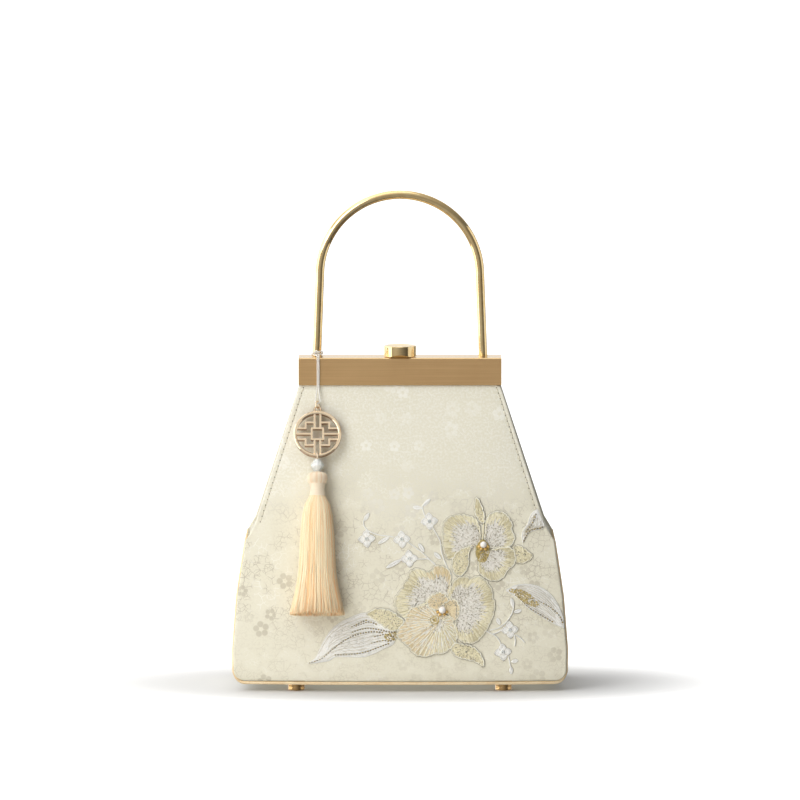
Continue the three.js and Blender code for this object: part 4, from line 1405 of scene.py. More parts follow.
@dataclass
class BoxFrame(Assembly):
    """The metal frame: two folded halves, two hinge rivets and the bow handle."""

    bow_radius: float = 0.00275
    arch_radius: float = 0.0503
    arch_height: float = 0.2585
    arch_steps: int = 73
    splay: float = radians(2.15)
    bow_y: float = 0.0055
    bow_foot: float = 0.2049
    bow_sides: int = 28
    leg_steps: int = 9
    edge: float = 0.0002
    upward: float = 0.3
    squarest: float = 0.93

    def leg_x(self, z: float) -> float:
        """How far the middle of a handle leg is from the middle plane at a height."""
        top = self.arch_height + self.arch_radius * sin(self.splay)
        return self.arch_radius * cos(self.splay) + (top - z) * tan(self.splay)

    def build(self) -> None:
        """Makes the meshes of the frame and the handle; the frame's top and soft edges are marked to be
        polished and painted lighter, a painted highlight.
        """
        for end in ("front", "rear"):
            half = solid_copy(f"frame_{end}_half", [f"frame_{end}"], self.edge)
            normals = face_normals(half)
            soft = np.abs(normals).max(axis=1) < self.squarest
            # Upward faces and soft edges are marked for the lighter colour, a painted highlight, and a smoother
            # finish.
            mark(half, "polish", "FACE", (normals[:, 2] > self.upward) | soft)
            self.keep(half)
        self.keep(solid_copy("hinge_rivets", ["hinge_pin_right", "hinge_pin_left"]))
        turns = np.linspace(self.splay - pi / 2, pi / 2 - self.splay, self.arch_steps)
        arch = np.stack([self.arch_radius * np.sin(turns), np.full(self.arch_steps, self.bow_y),
                         self.arch_height + self.arch_radius * np.cos(turns)], -1)
        heights = np.linspace(arch[-1, 2], self.bow_foot, self.leg_steps)[1:]
        right = np.array([(self.leg_x(z), self.bow_y, z) for z in heights])
        line = np.concatenate([right[::-1] * (-1, 1, 1), arch, right])
        self.keep(tubes("bow_handle", [line], self.bow_radius, self.bow_sides, Metal.BRIGHT.material))

    def dress(self) -> None:
        """Gives the metal its finish and puts the pieces on the bag."""
        self.coat(Metal.FRAME.material, "frame_front_half", "frame_rear_half", "hinge_rivets")
        self.fit("frame_front_half", Slot.BRUSHED, "frame_front")
        self.fit("frame_rear_half", Slot.BRUSHED, "frame_rear")
        self.fit("hinge_rivets", Slot.BRUSHED, "hinge_pin_right", "hinge_pin_left")
        self.fit("bow_handle", Slot.POLISHED, "handle")


@dataclass
class ThumbClasp(Assembly):
    """The round lever that lifts off the frame, and the pin that it turns on."""

    edge: float = 0.00022

    def build(self) -> None:
        """Makes the lever and the pin."""
        self.keep(solid_copy("clasp_thumb_lever", ["clasp_lever"], self.edge),
                  solid_copy("clasp_hinge_pin", ["clasp_pin"]))

    def dress(self) -> None:
        """Polishes both and puts each on its body."""
        self.coat(Metal.BRIGHT.material, "clasp_thumb_lever", "clasp_hinge_pin")
        self.fit("clasp_thumb_lever", Slot.POLISHED, "clasp_lever", body=Body.CLASP)
        self.fit("clasp_hinge_pin", Slot.POLISHED, "clasp_pin")


@dataclass
class TasselCharm(Assembly):
    """The charm: a cord tied to the handle, a jump ring, a fret medallion, a bead and a silk tassel.

    The tassel's shape is in millimetres about its own axis, down from the middle of its loop. Thread sizes
    and places in the shared frame are in metres.
    """

    x: float = -0.0517
    medallion_z: float = 0.1605
    medallion_radius: float = 0.015
    stand_off: float = 0.0056
    lean: float = radians(7)
    rim_middle: float = -0.014
    ring_middle: float = 0.0194
    front_facing: float = 0.6
    edges: Triple = (0.00005, 0.0003, 0.0001)
    cord_ply: float = 0.0002
    cord_twist: float = 1800.0
    ply_step: float = 0.00025
    loop_eye: Spot = (3.5, 1.9)
    loop_stem: float = -11.3
    loop_ply: float = 0.00028
    loop_twist: float = 2200.0
    head: Spots = ((-10.3, 2.2), (-10.8, 4.0), (-11.5, 5.2), (-12.7, 5.95), (-14.1, 6.2), (-15.6, 6.0),
                   (-16.9, 5.4), (-17.8, 4.5))
    head_threads: int = 64
    head_lift: float = 0.05
    head_radius: float = 0.0003
    binding: Spot = (-17.4, -25.3)
    binding_reach: float = 4.55
    binding_swell: float = 0.25
    binding_turns: int = 13
    binding_radius: float = 0.00034
    padding_sides: int = 48
    padding_spans: tuple[tuple[float, float, int], ...] = (
        (-10.5, -18.1, 12), (-19, -25, 4), (-27, -95.5, 20),
    )
    padding_neck: float = 4.3
    padding_sunk: float = 0.15
    padding_share: float = 0.86
    skirt_heights: Floats = (-24.1, -26.2, -30.0, -37.8, -49.0, -60.8, -72.0, -83.2, -92.6, -98.5)
    skirt_reaches: Floats = (4.0, 6.0, 7.8, 9.5, 10.6, 11.1, 11.7, 13.4, 15.8, 17.3)
    core_heights: Floats = (-10.3, -11.5, -14.1, -16.9, -17.9, -24.6, -26.1, -40, -73, -96)
    core_reaches: Floats = (2.2, 5.2, 6.2, 5.6, 4.6, 4.4, 5.8, 8.3, 9.9, 14.2)
    lock_heights: Floats = (-25.5, -38, -72, -86, -98.5)
    lock_backs: Floats = (5.9, 9.6, 11.7, 14.3, 17.4)
    shares: Triple = (0.92, 0.4, 0.75)
    flat: Spot = (26.0, 59.0)
    rest_gap: float = 0.5
    bottom: float = -98.5
    strands: int = 1900
    strand_top: float = -24.3
    strand_steps: int = 12
    strand_radius: float = 0.00022
    locks: int = 12

    def __post_init__(self) -> None:
        """Finds how the medallion and the tassel hang."""
        tilt = -self._slope(self.medallion_z, self.medallion_radius) - self.lean
        front = -float(FORM.depth(self.x, self.medallion_z)) - self.stand_off
        seat = Vector((self.x, front, self.medallion_z))
        self.charm = Matrix.Translation(seat) @ Matrix.Rotation(tilt, 4, "X")
        rim = self.charm @ Vector((0, 0, self.rim_middle))
        stations = [*zip(self.core_heights, self.core_reaches), *zip(self.lock_heights, self.lock_backs)]
        slope = cos(self._slope(0.100, 0.050))

        def lifted(z: float, back: float) -> float:
            """The angle at which a station of the tassel just clears the face."""
            room = rim.y + float(FORM.depth(self.x, rim.z + z * MM * slope)) + self._clear(z, back)
            return atan2(room, -z * MM * slope)

        hang = max(lifted(z, back) for z, back in stations)
        end = rim + Vector((0, sin(hang), cos(hang))) * self.bottom * MM
        resting = end.y + float(FORM.depth(self.x, end.z)) + self._clear(*stations[-1])
        self.droop = -resting / cos(hang) / MM
        self.hanging = Matrix.Translation(rim) @ Matrix.Rotation(-hang, 4, "X")

    def _slope(self, z: float, reach: float) -> float:
        """The lean of the face behind the charm, over a reach to both sides of a height."""
        return atan2(float(FORM.depth(self.x, z - reach) - FORM.depth(self.x, z + reach)), 2 * reach)

    def _share(self, z: Numbers, fringe: Numbers) -> Array:
        """Share of the round section that is left at a height below the loop."""
        return self.shares[0] + (fringe - self.shares[0]) * smoothstep(-np.asarray(z, float), *self.flat)

    def _clear(self, z: float, back: float) -> float:
        """Room that the tassel's back needs off the face, in metres."""
        return float(back * self._share(z, self.shares[1]) + self.rest_gap) * MM

    def _skirt(self, z: Array) -> Array:
        """Reach of the fringe at heights below the loop."""
        return np.interp(-z, np.negative(self.skirt_heights), self.skirt_reaches)

    def _seated(self, local: Array) -> Array:
        """Points about the tassel's axis, in metres, where the tassel hangs."""
        return local @ np.array(self.hanging.to_3x3()).T + np.array(self.hanging.translation)

    def _hung(self, reach: Array, turns: Numbers, z: Array) -> Array:
        """Points round the tassel, pressed flat as it lies on the face.

        Args:
            reach: Distance of each point from the tassel's axis.
            turns: Angle of each point round it.
            z: Height of each point.

        Returns:
            Points in the shared frame, in metres.
        """
        x, y = reach * np.cos(turns), reach * np.sin(turns)
        z = np.broadcast_to(z, x.shape)
        fallen = np.maximum(0, (z + self.flat[0]) / (self.bottom + self.flat[0]))
        y = y * self._share(z, np.where(y > 0, self.shares[1], self.shares[2])) + self.droop * fallen**2
        return self._seated(np.stack([x, y, z], -1) * MM)

    def _route(self) -> Array:
        """The cord's way: round the handle leg, down to the jump ring, back up and round the leg again.

        Returns:
            The points of its line.
        """
        ring = np.array(self.charm @ Vector((0, 0, self.ring_middle))) / MM
        top, bottom, front = 207.4, 190.1, -11.75
        round_leg, leg_y, down_x, up_x = 3.4, 5.5, -50.9, -51.9
        leg_x = -BoxFrame().leg_x((top + 2.75) * MM) / MM

        def on_leg(degrees: float, rise: float) -> Triple:
            """A point on the cord's turn round the leg, at a height above the frame."""
            turn = radians(degrees)
            return leg_x + round_leg * sin(turn), leg_y - round_leg * cos(turn), top + rise

        def fall(x: float) -> list[Triple]:
            """The cord's way down the front of the frame."""
            return [(x, front + 0.9, top + 0.6), (x, front, top - 1.7), (x, front, (top + bottom) / 2),
                    (x, front, bottom + 1.5), (x, front - 0.5, bottom - 2)]

        down = [*(on_leg(degrees, 2.4) for degrees in (-8, -60, -120, -180)), on_leg(-235, 2.3),
                (leg_x + round_leg, leg_y - 0.9, top + 2.2), (down_x + 1.6, -1, top + 1.8),
                (down_x, -7.4, top + 1.2), *fall(down_x)]
        eye = [ring + spot for spot in ((1.3, 0.45, 4.4), (1.5, 0.15, 2.1), (0, 0, 0.85), (-1.5, 0.15, 2.1),
                                        (-1.3, 0.45, 4.4))]
        up = [*fall(up_x)[::-1], (up_x - 0.2, -7.4, top + 1.0), (up_x - 2, -1, top + 0.9),
              (leg_x - round_leg, leg_y - 0.9, top + 0.9), on_leg(235, 0.9), on_leg(180, 0.9), on_leg(120, 1),
              on_leg(60, 1.1), on_leg(6, 1.3)]
        return spline([*down, *eye, *up], self.ply_step / MM) * MM

    def build(self) -> None:
        """Makes the meshes of the charm, the cord first; the ring is polished all over, and the medallion's
        faces towards the front and back are polished and painted lighter as a painted highlight, its side walls
        left darker as painted shade.
        """
        self.route = self._route()
        cord = plied("charm_cord_thread", [self.route], self.cord_ply, self.cord_twist, Thread.CORD.material)
        self.keep(cord, self._knot())
        *edges, bead_edge = self.edges
        through = np.array(self.charm.to_3x3().col[1])
        for node, edge, least in zip(("jump_ring", "medallion"), edges, (-1.0, self.front_facing)):
            piece = solid_copy(f"charm_{node}", [node], edge)
            # Faces along the medallion's axis are marked for the lighter colour, a painted highlight; the side
            # walls keep the darker colour, a painted shade.
            mark(piece, "polish", "FACE", np.abs(face_normals(piece) @ through) > least)
            self.keep(piece)
        self.keep(solid_copy("charm_bead", ["bead"], bead_edge, facets=True), self._loop(), self._core(),
                  self._head(), self._binding(), self._fringe())

    def _knot(self) -> Piece:
        """An overhand knot on the front of the handle leg, with two short tails.

        Returns:
            The piece.
        """
        middle = (self.route[0] + self.route[-1]) / 2 + (0, -0.0006, 0)
        turns = np.linspace(0, tau, 64, endpoint=False)
        ring = 1.05 + 0.42 * np.cos(3 * turns)
        tie = np.stack([ring * np.cos(2 * turns), 0.45 * np.sin(3 * turns), ring * np.sin(2 * turns)], -1)
        lines = [rejoined(tie * MM) + middle]
        for s in (1, -1):
            tail = [(0, 0, 0), (0.9 * s, -0.5, 0.5), (2.1 * s, -0.7, 0.6 + 0.5 * s), (3.0 * s, -0.3, 0.2 + s)]
            lines.append(spline(np.array(tail) * MM, self.ply_step) + middle)
        return plied("charm_cord_knot", lines, self.cord_ply, self.cord_twist, Thread.CORD.material)

    def _loop(self) -> Piece:
        """The thread that holds the tassel to the medallion and carries the bead.

        Returns:
            The piece.
        """
        turns = np.linspace(-pi / 2, 1.5 * pi, 60)
        deep, high = self.loop_eye
        eye = np.stack([np.zeros(60), deep * np.cos(turns), high * np.sin(turns)], -1)
        stem = np.stack([np.zeros(40), np.zeros(40), np.linspace(-high, self.loop_stem, 40)], -1)
        lines = [self._seated(resampled(line * MM, self.ply_step)) for line in (eye, stem)]
        return plied("tassel_loop", lines, self.loop_ply, self.loop_twist, Thread.HEAD.material)

    def _core(self) -> Piece:
        """The bundle under the threads of the head and the fringe, closed at both ends.

        Returns:
            The piece.
        """
        head, neck, skirt = (np.linspace(*span) for span in self.padding_spans)
        heights, reaches = zip(*self.head)
        reach = np.concatenate([
            np.interp(-head, np.negative(heights), reaches) - self.padding_sunk,
            np.full(len(neck), self.padding_neck),
            self._skirt(skirt) * self.padding_share,
        ])
        turns = np.linspace(0, tau, self.padding_sides, endpoint=False)
        rings = self._hung(reach[:, None], turns, np.concatenate([head, neck, skirt])[:, None])
        return padding("tassel_core", [rings], Thread.FRINGE, 0.25)

    def _head(self) -> Piece:
        """Upright threads over the head.

        Returns:
            The piece.
        """
        rng = np.random.default_rng(SEED)
        reach, z = spline([(r, z) for z, r in self.head], 0.5).T
        turns = np.arange(self.head_threads) * tau / self.head_threads
        threads = [self._hung(reach + self.head_lift, turn, z) for turn in turns]
        return tubes("tassel_head_threads", threads, self.head_radius, 6, Thread.HEAD.material,
                     tints=rng.uniform(0.3, 1.0, len(threads)))

    def _binding(self) -> Piece:
        """Thread wound round the neck in close turns.

        Returns:
            The piece.
        """
        turns = np.linspace(0, tau * self.binding_turns, 30 * self.binding_turns)
        swell = self.binding_swell * np.cos(np.linspace(0, tau, len(turns)))
        line = self._hung(self.binding_reach + swell, turns, np.linspace(*self.binding, len(turns)))
        return tubes("tassel_binding", [line], self.binding_radius, 8, Thread.HEAD.material, tints=[0.8])

    def _fringe(self) -> Piece:
        """Silk strands, gathered in locks and uneven at their ends.

        Returns:
            The piece.
        """
        rng = np.random.default_rng(SEED + 1)
        share = np.linspace(0, 1, self.strand_steps)
        lines, tints = [], []
        for k in range(self.strands):
            turn = tau * (k + rng.uniform(0, 1)) / self.strands * 7
            lock = cos(self.locks * turn + 0.9 * sin(3 * turn))
            depth = 1 - 0.24 * rng.uniform(0, 1) ** 1.6
            end = self.bottom + 1.2 * sin(5 * round(turn / tau * self.locks)) + rng.normal(0, 0.5)
            z = np.linspace(self.strand_top, max(end, self.bottom - 1.1), self.strand_steps)
            reach = self._skirt(z) * (depth - 0.008 * (1 - lock) * share)
            drift = turn - 0.012 * sin(self.locks * turn) * share + rng.normal(0, 0.04) * share
            drift = drift + 0.012 * np.sin(share * rng.uniform(5, 9) + rng.uniform(0, 6))
            lines.append(self._hung(reach, drift, z))
            streak = 0.1 * sin(5 * turn + 1) + 0.08 * sin(43 * turn)
            tints.append(np.clip(0.6 + streak + rng.normal(0, 0.4), 0, 1))
        thick = [np.interp(share, [0, 0.8, 1], [1, 1, 0.6])] * self.strands
        return tubes("tassel_fringe", lines, self.strand_radius, 4, Thread.FRINGE.material, thick=thick,
                     tints=tints)

    def dress(self) -> None:
        self.coat(Metal.ROSY.material, "charm_jump_ring", "charm_medallion")
        self.coat(Opal().material(), "charm_bead")
        for name, slot, *nodes in (
            ("charm_cord_thread", Slot.THREAD, "charm_cord"), ("charm_cord_knot", Slot.THREAD),
            ("charm_jump_ring", Slot.PALE, "jump_ring"), ("charm_medallion", Slot.PALE, "medallion"),
            ("charm_bead", Slot.OPAL, "bead"), ("tassel_loop", Slot.SILK), ("tassel_core", Slot.SILK),
            ("tassel_head_threads", Slot.SILK), ("tassel_binding", Slot.SILK),
            ("tassel_fringe", Slot.SILK, "tassel"),
        ):
            self.fit(name, slot, *nodes)
        length = float(steps(self.route).sum())
        tuple(self.route[0])


@dataclass(frozen=True)
class Petal:
    """One embroidered petal or leaf: its outline, the heart that its stitches run to, and its threads."""

    outline: Spots
    heart: Spot
    rim: float = 0.30
    rim_thread: Thread = Thread.STRAW
    fill_thread: Thread = Thread.LILAC
    level: float = 0.0
    # Share of dark umber dots in the fill, painted shade of the gaps between stitches.
    gap_shade_specks: float = 1.0
    edge_thread: Thread = Thread.CREAM
    second: Thread | None = None
    change: tuple[Spot, Spot] = ((0.0, 0.0), (1.0, 0.0))
    rays: int = 0


@dataclass(frozen=True)
class WhiteLeaf:
    """A long satin leaf between two edges from its tip, with a gold patch and gold veins."""

    upper: Spots
    lower: Spots
    patch: Spots
    veins: tuple[Spots, ...]


@dataclass
class Embroidery(Assembly):
    """Two blossoms, leaves and white sprigs in raised stitches on the face, with pearls and beads.

    Places and sizes are in millimetres on the face.
    """

    stitch_width: float = 0.56
    stitch_height: float = 0.34
    stitch_overrun: float = 1.12
    relief: float = 0.55
    relief_run: float = 0.7
    ground_sunk: float = -0.3
    ground_lift: float = -0.05
    ground_rings: Floats = (0, 0.04, 0.1, 0.22, 0.5, 0.8)
    cord_ply: float = 0.21
    cord_twist: float = 1500.0
    # Radius of the thin dark umber lines, painted shadow lines beside edges, and how far they stand outside an
    # edge.
    shadow_line_radius: float = 0.12
    shadow_line_offset: float = 0.52
    stem_lift: float = 0.34
    edge_lift: float = 0.5
    leaf_edge_lift: float = 0.24
    leaflet_lift: float = 0.32
    sprig_lift: float = 0.36
    sprig_edge_lift: float = 0.26
    vein_lift: float = 0.4
    ripple: tuple[Spot, ...] = ((0.26, 2.3), (0.2, 1.37))
    rim_pitch: float = 0.95
    rim_row: float = 3.0
    rim_uneven: Spot = (0.6, 1.3)
    rim_overlap: float = 0.03
    rim_tints: float = 0.38
    least_reach: float = 1.2
    seed_density: float = 1.5
    seed: tuple[Spot, float, Spot] = ((0.5, 0.95), 0.04, (0.1, 1.0))
    # Size, lift and tints of the dark umber dots that paint the shade of gaps in a fill, and their share.
    gap_shade_speck: tuple[Spot, float, Spot] = ((0.2, 0.4), 0.2, (0.25, 0.95))
    gap_shade_share: float = 0.36
    satin_pitch: float = 0.8
    satin_length: float = 5.5
    vein_pitch: float = 1.7
    gold_density: float = 2.8
    gold: tuple[Thread, ...] = (Thread.OLIVE, Thread.PEACH, Thread.UMBER)
    gold_shares: Floats = (0.72, 0.14, 0.14)
    leaflet_pitch: float = 0.4
    leaflet_reach: float = 1.15
    leaflet_power: float = 0.7
    sprig_reach: float = 5.2
    sprig_power: float = 1.1
    sprig_rows: tuple[Spot, Spot] = ((0.16, 0.6), (0.5, 0.97))
    pearl_spots: tuple[Triple, ...] = ((52.1, 92.1, 2.1), (26.4, 51.9, 2.3))
    pearl_lift: float = 0.7
    bead_turns: Floats = (205.0, 245.0, 295.0, 335.0)
    bead_radius: float = 0.95
    bead_lift: float = 1.9
    bead_gap: float = 0.8
    ring_radius: float = 1.15
    ring_lift: float = 0.85
    sprigs: Spots = ((-20.9, 95.9), (1.1, 95.6), (18.4, 106.7), (5.7, 83.7), (68.8, 39.2), (64.4, 25.2))
    petals: tuple[Petal, ...] = (
        Petal(((50.2, 97.0), (49.8, 102.9), (47.4, 107.9), (43.0, 110.0), (37.8, 110.7), (31.8, 109.5),
               (28.3, 106.8), (26.9, 102.7), (27.2, 98.7), (26.5, 94.1), (27.4, 89.3), (30.2, 83.3),
               (34.6, 85.0), (43.4, 91.1), (48.7, 92.3)),
              (49.4, 92.8)),
        Petal(((53.5, 91.8), (53.6, 103.0), (54.5, 108.6), (58.0, 111.8), (61.9, 112.5), (65.9, 111.2),
               (68.5, 108.1), (70.2, 104.7), (70.0, 100.7), (71.7, 97.8), (71.1, 93.8), (68.5, 91.0),
               (62.8, 90.5), (56.5, 90.5)),
              (54.4, 91.8)),
        Petal(((49.1, 79.8), (50.4, 84.9), (55.7, 88.3), (61.8, 90.1), (67.2, 90.4), (70.7, 89.1),
               (72.3, 84.8), (71.5, 80.0), (67.1, 76.1), (65.3, 72.7), (61.8, 70.1), (57.4, 69.9),
               (53.0, 72.0), (49.7, 74.9)),
              (53.4, 86.4), rim=0.34, level=0.12),
        Petal(((30.2, 62.0), (31.5, 68.6), (31.8, 73.7), (29.8, 77.2), (25.8, 79.0), (21.9, 79.0),
               (19.3, 75.9), (16.2, 75.6), (12.7, 77.2), (8.7, 77.2), (5.7, 74.7), (5.2, 71.6),
               (2.6, 68.6), (1.3, 65.1), (-1.8, 61.2), (-3.3, 56.4), (-2.4, 52.1), (0.4, 48.6),
               (4.4, 46.4), (9.2, 52.9), (15.3, 56.4), (19.7, 61.2), (25.0, 62.5)),
              (26.4, 57.3), level=0.08, second=Thread.PEACH, change=((14.0, 70.0), (24.0, 80.0))),
        Petal(((30.2, 59.9), (32.4, 66.8), (35.5, 71.1), (40.8, 72.4), (44.3, 71.3), (48.7, 72.8),
               (53.5, 70.2), (56.1, 66.7), (57.9, 63.2), (57.9, 59.7), (59.4, 56.3), (58.7, 50.1),
               (57.0, 44.9), (54.4, 39.7), (51.3, 35.3), (46.9, 31.5), (42.5, 31.0), (37.7, 32.8),
               (35.1, 37.2), (34.6, 42.4), (35.5, 48.5), (36.5, 53.7), (34.6, 58.1)),
              (35.4, 53.3), level=0.12),
        Petal(((16.2, 54.6), (11.8, 54.2), (7.4, 52.9), (4.4, 48.6), (2.6, 44.2), (-0.9, 39.8),
               (-1.8, 35.9), (0.4, 32.9), (4.8, 29.4), (8.3, 25.0), (11.8, 23.2), (17.1, 22.8),
               (21.5, 24.6), (26.7, 24.6), (31.1, 27.5), (34.6, 31.0), (35.5, 35.4), (34.2, 40.7),
               (33.0, 45.1), (31.1, 47.6), (26.7, 48.6), (21.5, 51.1)),
              (24.9, 44.9), rim=0.76, rim_thread=Thread.PEACH, level=0.2, gap_shade_specks=0.5, second=Thread.STRAW,
              change=((18.0, 42.0), (33.0, 28.0)), rays=6),
        Petal(((25.8, 62.5), (21.5, 61.6), (17.9, 58.6), (17.1, 55.5), (19.7, 52.9), (23.2, 52.0),
               (25.8, 54.6), (30.2, 58.1)),
              (25.9, 54.8), rim=0.5, rim_thread=Thread.PEACH, fill_thread=Thread.PEACH, level=0.3,
              gap_shade_specks=0.8),
        Petal(((30.2, 57.3), (34.6, 58.1), (37.2, 53.7), (36.8, 48.5), (34.6, 45.1), (32.0, 47.6),
               (28.5, 51.1), (26.7, 53.7)),
              (27.9, 52.8), rim=0.5, rim_thread=Thread.PEACH, fill_thread=Thread.PEACH, level=0.3,
              gap_shade_specks=0.8),
        Petal(((44.3, 91.1), (39.0, 89.7), (34.6, 86.3), (32.7, 81.5), (33.0, 76.8), (35.5, 73.3),
               (38.6, 73.3), (41.6, 76.8), (42.9, 80.6), (42.8, 85.8)),
              (37.9, 80.0), rim=0.22, fill_thread=Thread.STRAW, level=0.25, gap_shade_specks=0.9),
        Petal(((83.0, 84.9), (78.6, 89.0), (75.1, 91.2), (71.1, 90.9), (72.3, 84.8), (73.2, 80.9),
               (78.6, 81.2)),
              (75.5, 85.7), rim=0.22, fill_thread=Thread.STRAW, gap_shade_specks=0.9),
        Petal(((47.9, 121.2), (46.8, 116.0), (47.4, 110.8), (49.6, 107.0), (52.3, 105.2), (52.7, 110.0),
               (51.4, 115.1), (49.6, 119.0)),
              (50.5, 109.0), rim=0.6, fill_thread=Thread.STRAW, level=0.2, gap_shade_specks=0.8),
        Petal(((51.7, 94.9), (54.8, 92.7), (55.7, 88.3), (54.4, 84.0), (52.2, 81.4), (49.4, 82.4),
               (47.9, 86.7), (48.2, 91.0), (49.7, 93.8)),
              (51.8, 88.9), rim=0.6, rim_thread=Thread.OLIVE, fill_thread=Thread.OLIVE, level=0.3,
              gap_shade_specks=1.2, edge_thread=Thread.OLIVE),
        Petal(((18.8, 45.5), (21.5, 48.1), (24.1, 47.3), (23.7, 43.8), (21.5, 42.9)),
              (21.7, 45.9), rim=0.85, rim_thread=Thread.OLIVE, fill_thread=Thread.OLIVE, level=0.35,
              gap_shade_specks=0.4, edge_thread=Thread.OLIVE),
        Petal(((-20.5, 49.0), (-16.3, 52.0), (-11.0, 52.5), (-4.9, 50.8), (-0.5, 47.3), (2.6, 45.1),
               (0.4, 41.6), (-3.1, 38.9), (-8.4, 40.2), (-13.6, 43.8), (-17.1, 46.4)),
              (-5.6, 45.4), rim=0.2, fill_thread=Thread.STRAW, level=0.3, gap_shade_specks=0.9),
        Petal(((52.6, 16.6), (46.9, 19.6), (41.6, 20.9), (35.5, 22.7), (32.0, 27.5), (34.6, 31.0),
               (39.0, 30.2), (44.3, 29.3), (49.1, 25.8), (51.7, 21.4)),
              (39.9, 25.9), rim=0.2, fill_thread=Thread.STRAW, level=0.25, gap_shade_specks=0.9),
    )
    leaves: tuple[WhiteLeaf, ...] = (
        WhiteLeaf(((-57.6, 18.1), (-52.9, 21.3), (-50.3, 26.5), (-46.7, 33.8), (-42.0, 40.0), (-36.8, 44.1),
                   (-30.6, 47.2), (-20.8, 49.8), (-10.0, 45.0), (-2.1, 36.0)),
                  ((-57.6, 18.1), (-44.6, 20.2), (-41.0, 22.3), (-32.7, 22.6), (-22.8, 22.6), (-17.1, 24.4),
                   (-9.8, 28.0), (-4.6, 30.6), (-2.1, 36.0)),
                  ((-10.5, 35.5), (-6.2, 37.6), (-2.5, 37.4), (-2.1, 35.0), (-3.0, 33.0), (-8.0, 32.4)),
                  (((-57.2, 18.4), (-49.3, 21.2), (-43.0, 26.5), (-37.9, 30.6), (-32.1, 34.3), (-28.0, 36.1),
                    (-18.1, 38.2), (-10.0, 37.6)),
                   ((-30.6, 41.0), (-23.8, 44.4), (-20.2, 45.7)),
                   ((-28.0, 41.6), (-23.8, 43.1), (-19.2, 44.4), (-14.0, 42.6)),
                   ((-30.1, 37.6), (-26.4, 39.2), (-19.7, 40.4), (-13.5, 39.6), (-6.2, 38.0), (-2.5, 37.6)),
                   ((-16.3, 35.0), (-8.8, 36.6), (-3.1, 34.8)),
                   ((-18.3, 31.0), (-10.3, 32.8), (-6.7, 32.2), (-3.1, 33.8)),
                   ((-41.0, 23.6), (-27.5, 24.4), (-20.2, 26.0), (-11.9, 29.1), (-6.2, 31.2)))),
        WhiteLeaf(((66.4, 63.9), (72.0, 66.6), (80.0, 67.4), (88.0, 65.4), (94.5, 60.6), (99.0, 54.0),
                   (101.8, 46.5), (102.6, 40.2)),
                  ((66.4, 63.9), (75.2, 57.9), (80.1, 52.9), (87.3, 48.3), (96.3, 42.9), (102.6, 40.2)),
                  ((66.4, 63.9), (70.2, 64.8), (74.7, 64.6), (79.7, 62.7), (83.7, 59.1), (87.3, 54.6),
                   (84.6, 53.3), (79.7, 54.7), (75.2, 57.9), (71.1, 61.7)),
                  (((86.4, 57.3), (94.5, 52.7), (100.0, 47.3), (102.2, 42.5)),
                   ((75.2, 58.3), (80.1, 53.4), (87.3, 48.8), (96.3, 43.5)))),
        WhiteLeaf(((77.0, 93.5), (76.6, 98.3), (77.5, 101.0), (80.2, 104.9), (81.5, 108.9), (83.6, 112.0),
                   (86.0, 113.6)),
                  ((77.0, 93.5), (78.8, 97.4), (80.6, 99.9), (84.7, 101.1), (88.4, 101.7), (90.2, 103.4),
                   (88.6, 107.5), (86.0, 113.6)),
                  (),
                  (((77.2, 94.0), (79.0, 97.6), (80.8, 100.2), (84.7, 101.6), (88.4, 102.1), (90.0, 103.6)),
                   ((78.6, 99.6), (82.9, 105.3), (85.4, 111.6)))),
    )
    stems: tuple[Spots, ...] = (
        ((-19.6, 111.4), (-22.8, 106.7), (-21.5, 102.3), (-15.4, 98.9), (-4.0, 97.1)),
        ((5.2, 93.7), (13.6, 87.7), (21.9, 79.9), (26.7, 75.9)),
        ((8.3, 83.3), (13.6, 83.4), (17.9, 83.3), (21.9, 80.3)),
        ((20.6, 102.7), (25.0, 94.6), (26.3, 86.8), (28.5, 80.7), (32.0, 73.7)),
        ((16.2, 108.7), (14.4, 113.5), (14.2, 115.9), (18.8, 120.2)),
        ((53.5, 38.8), (60.9, 34.4), (64.0, 28.3)),
        ((55.7, 38.8), (62.7, 40.9), (67.9, 45.7), (71.0, 52.7), (69.7, 58.8)),
        ((58.3, 36.6), (61.8, 38.0), (64.9, 40.0)),
        ((72.3, 36.1), (75.0, 34.3), (78.0, 31.2)),
        ((71.5, 36.1), (72.2, 32.6), (71.9, 29.1)),
        ((67.9, 22.6), (68.8, 18.2), (69.7, 13.4)),
        ((52.3, 105.2), (52.1, 99.7), (51.7, 94.9)),
    )
    leaflets: tuple[tuple[Spot, Spot], ...] = (
        ((-22.8, 106.7), (-19.6, 111.4)), ((-14.1, 92.8), (-7.1, 96.7)), ((15.3, 87.7), (11.8, 92.8)),
        ((1.3, 83.3), (-8.4, 78.1)), ((25.8, 83.3), (21.5, 87.2)), ((14.0, 114.8), (8.3, 115.4)),
        ((62.7, 42.2), (60.9, 46.2)), ((71.0, 50.0), (75.8, 51.3)), ((69.3, 19.1), (73.7, 19.9)),
        ((71.0, 52.7), (69.7, 58.8)), ((14.2, 115.9), (18.8, 120.2)), ((69.4, 16.3), (69.7, 11.7)),
    )

    def build(self) -> None:
        """Makes the padded grounds, the stitches, the cords, the pearls and the beads."""
        self.rng = np.random.default_rng(SEED + 2)
        self.stitches: dict[Thread, list[Floats]] = {}
        self.cords: dict[Thread, list[Array]] = {}
        # Thin dark lines with their tints: painted shadow lines.
        self.fine: list[tuple[Array, float]] = []
        self.grounds: dict[Thread, list[tuple[Array, float]]] = {}
        for petal in self.petals:
            self._work_petal(petal)
        for leaf in self.leaves:
            self._work_leaf(leaf)
        for stem in self.stems:
            line = spline(stem, 0.5)
            self._cord(Thread.WHITE if stem is not self.stems[-1] else Thread.STRAW, line, self.stem_lift)
